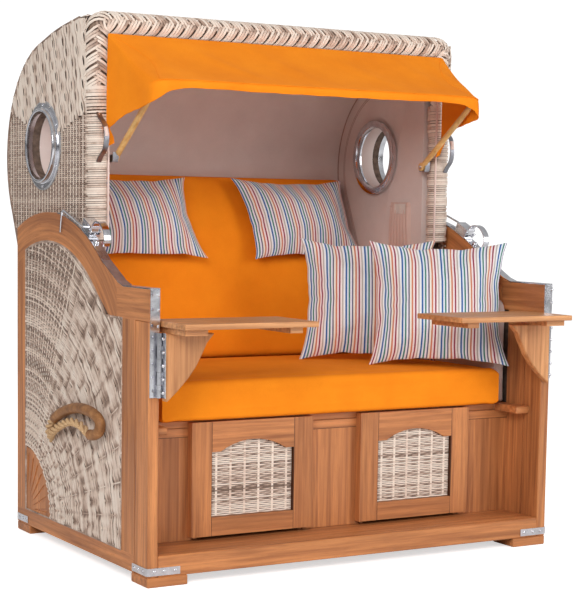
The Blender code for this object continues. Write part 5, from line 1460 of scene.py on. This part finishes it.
def rope(side, name):
    """Three strands twisted along the handle's route, and the sleeve round them."""
    path = [Vector((side * x, FRONT + y, z)) for x, y, z in through(ROPE_ROUTE, 12)]
    lengths = [0.0]
    for a, b in zip(path, path[1:]):
        lengths.append(lengths[-1] + (b - a).length)
    strands = []
    for strand in range(3):
        line = []
        for i, at in enumerate(path):
            run = (path[min(i + 1, len(path) - 1)] - path[max(i - 1, 0)]).normalized()
            first = run.cross(Vector((1, 0, 0))).normalized()
            second = run.cross(first)
            turn = math.tau * (lengths[i] / ROPE_PITCH + strand / 3)
            line.append(at + (first * math.cos(turn) + second * math.sin(turn)) * STRAND_OFFSET)
        strands.append(bar([tuple(p) for p in line], STRAND_RADIUS, sides=3))
    piece = keep(as_one(strands), "rope_" + name, "base", ROPE, 60)
    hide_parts("rope_handle_" + name)
    low, high = (int(share * (len(path) - 1)) for share in SLEEVE_SPAN)
    grip = [tuple(p) for p in path[low:high]]
    keep(bar(grip, SLEEVE_RADIUS, sides=6), "rope_sleeve_" + name, "base", LEATHER, 60)


for side, name in SIDES:
    rope(side, name)

# %% [markdown]
# Small fittings. Flat straps are laid like the cane strands, as a line with a half-width. Rings are
# a profile turned round an axle on a grid whose ends are then merged. Screws are domed heads. The
# handle of each latch is a bent strap that lifts on a pin, over a knob on the frame.

# %% Helpers for fittings


def turned_ring(name, profile, centre, steps, body, material):
    """A closed (radius, x) profile turned round a line along X through the centre."""
    loop = [*profile, profile[0]]
    piece = start(bpy.ops.mesh.primitive_grid_add, x_subdivisions=steps, y_subdivisions=len(loop) - 1, size=1.0)
    turn = np.linspace(0, math.tau, steps + 1)[None, :]
    radius, x = (np.array(loop)[:, i, None] for i in (0, 1))
    move_points(piece, np.stack(np.broadcast_arrays(x, centre[0] + radius * np.cos(turn),
                                                    centre[1] + radius * np.sin(turn)), axis=-1).reshape(-1, 3))
    only(piece)
    in_edit((bpy.ops.mesh.remove_doubles, {"threshold": MERGE / 4}),
            (bpy.ops.mesh.normals_make_consistent, {"inside": False}))
    return keep(piece, name, body, material, 35)


def screws(name, spots, facing, radius, body):
    """Domed screw heads on spots, all facing one way."""
    turn = Vector((0, 0, 1)).rotation_difference(Vector(facing)).to_euler()
    heads = []
    for spot in spots:
        head = start(bpy.ops.mesh.primitive_uv_sphere_add, segments=14, ring_count=8, radius=radius, location=spot,
                     rotation=turn)
        head.scale = (1, 1, 0.5)
        heads.append(head)
    return keep(as_one(heads), name, body, STEEL, 60)


def strap(name, points, half, thick, body, metal=STEEL):
    """A flat steel strap along points, half as wide as the half vector says on each side."""
    line = np.array(points)[None]
    halves = np.broadcast_to(np.array(half, float), line.shape)
    return lay_strands(name, line, halves, thick, body, metal)


# %% Portholes
DARK_RUBBER = mottled("grey gasket", 90.0, (0.30, 0.30, 0.31), (0.48, 0.48, 0.50), Roughness=0.6)[0]
TUBE = [(0.1200, 0.5940), (0.1200, 0.5962), (0.1190, 0.5974), (0.1060, 0.5976), (0.1042, 0.5990), (0.1038, 0.6062),
        (0.1026, 0.6090), (0.1002, 0.6102), (0.0972, 0.6102), (0.0950, 0.6086), (0.0942, 0.6050), (0.0936, 0.5850),
        (0.0936, 0.5596), (0.0944, 0.5586), (0.0936, 0.5576), (0.0936, 0.5230), (0.0942, 0.5080), (0.0960, 0.5054),
        (0.1000, 0.5048), (0.1120, 0.5056), (0.1140, 0.5070), (0.1142, 0.5190), (0.1020, 0.5220), (0.1010, 0.5900),
        (0.1080, 0.5938)]
for side, name in SIDES:
    ring = turned_ring("porthole_tube_" + name, [(r, side * x) for r, x in TUBE], PORTHOLE, 96, "hood", STEEL)
    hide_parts("porthole_" + name)
    seal = [(0.1212, 0.5930), (0.1236, 0.5936), (0.1236, 0.5962), (0.1212, 0.5966)]
    turned_ring("porthole_gasket_" + name, [(r, side * x) for r, x in seal], PORTHOLE, 72, "hood", DARK_RUBBER)
    spots = [(side * 0.5980, PORTHOLE[0] + 0.1125 * math.cos(a), PORTHOLE[1] + 0.1125 * math.sin(a))
             for a in np.radians(range(30, 390, 60))]
    screws("porthole_screws_" + name, spots, (side, 0, 0), 0.0040, "hood")

# %% Grab handles, corner straps and their screws
for side, name in SIDES:
    bow = through([(side * x, FRONT + y, z) for x, y, z in (
        (0.5640, 0.4425, 1.185), (0.5630, 0.4350, 1.172), (0.5605, 0.4110, 1.152), (0.5590, 0.4020, 1.122),
        (0.5605, 0.4080, 1.090), (0.5630, 0.4320, 1.068), (0.5640, 0.4420, 1.056))], 4)
    grab = strap("grab_bow_" + name, bow, (0.0070, 0, 0), 0.0030, "hood", DULL_STEEL)
    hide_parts("grab_handle_" + name)
    keep(bar(bow[9:13], 0.0062, sides=4), "grab_sleeve_" + name, "hood", PALE_PIPING, 60)
    spots = [(side * 0.564, FRONT + 0.4405, z) for z in (1.180, 1.061)]
    screws("grab_screws_" + name, spots, (0, -1, 0), 0.0038, "hood")
    for end, rows in (("front", [(0.5360, -0.0013), (0.5520, -0.0013), (0.5800, -0.0013), (0.6190, -0.0013),
                                 (0.6245, 0.0004), (0.6264, 0.0060), (0.6264, 0.0400), (0.6264, 0.0850)]),
                      ("rear", [(0.5360, 0.8723), (0.5520, 0.8723), (0.5800, 0.8723), (0.6190, 0.8723),
                                (0.6245, 0.8706), (0.6264, 0.8650), (0.6264, 0.8310), (0.6264, 0.7860)])):
        points = [(side * x, FRONT + y, 0.0400) for x, y in rows]
        corner = strap(f"corner_{end}_{name}", points, (0, 0, 0.0098), 0.0026, "base")
        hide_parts(f"corner_strap_{end}_{name}")
        face_y = rows[0][1] + (-0.0016 if end == "front" else 0.0016)
        spots = [(side * x, FRONT + face_y, 0.040) for x in (0.549, 0.580, 0.607)]
        screws(f"corner_screws_{end}_{name}", spots, (0, -1 if end == "front" else 1, 0), 0.0042, "base")
        spots = [(side * 0.6280, FRONT + rows[0][1] + way, 0.040) for way in
                 ((0.024, 0.050, 0.075) if end == "front" else (-0.024, -0.050, -0.075))]
        screws(f"corner_side_screws_{end}_{name}", spots, (side, 0, 0), 0.0042, "base")

# %% Latches
for side, name in SIDES:
    bail = through([(side * 0.6075, FRONT + y, z) for y, z in (
        (0.3670, 0.8714), (0.3600, 0.8900), (0.3400, 0.8985), (0.3140, 0.8930), (0.2930, 0.8740), (0.2870, 0.8500),
        (0.2960, 0.8360))], 5)
    lever = strap("latch_bail_" + name, bail, (0.0095, 0, 0), 0.0028, "latch_" + name)
    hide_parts("latch_handle_" + name)
    screws("latch_pin_" + name, [(side * 0.6190, FRONT + 0.3670, 0.8714)], (side, 0, 0), 0.0060, "latch_" + name)
    knob = start(bpy.ops.mesh.primitive_uv_sphere_add, segments=20, ring_count=12, radius=0.0085,
                 location=(side * 0.6105, FRONT + 0.3475, 0.8430))
    keep(knob, "latch_knob_" + name, "base", STEEL, 60)

# %% Table hinges and bow brackets
for side, name in SIDES:
    spots = [(side * 0.6015, FRONT - 0.0312, z) for z in (0.488, 0.521, 0.554, 0.587, 0.620)]
    screws("hinge_screws_" + name, spots, (0, -1, 0), 0.0042, "table_" + name)
    spots = [(side * 0.610, FRONT - 0.0190, z) for z in (0.650, 0.690, 0.726)]
    screws("arm_screws_" + name, spots, (0, -1, 0), 0.0040, "base")
    cup = strap("bow_bracket_" + name, [(side * 0.5085, FRONT + y, BOW_PIN_Z + z) for y, z in (
        (0.4550, 0.013), (0.4550, -0.004), (0.4600, -0.0135), (0.4840, -0.0135), (0.4890, -0.004), (0.4890, 0.006))],
                (0.0085, 0, 0), 0.0022, "hood", DULL_STEEL)
    screws("bow_pin_" + name, [(side * 0.4935, FRONT + 0.472, BOW_PIN_Z)], (-side, 0, 0), 0.0060, "bow")
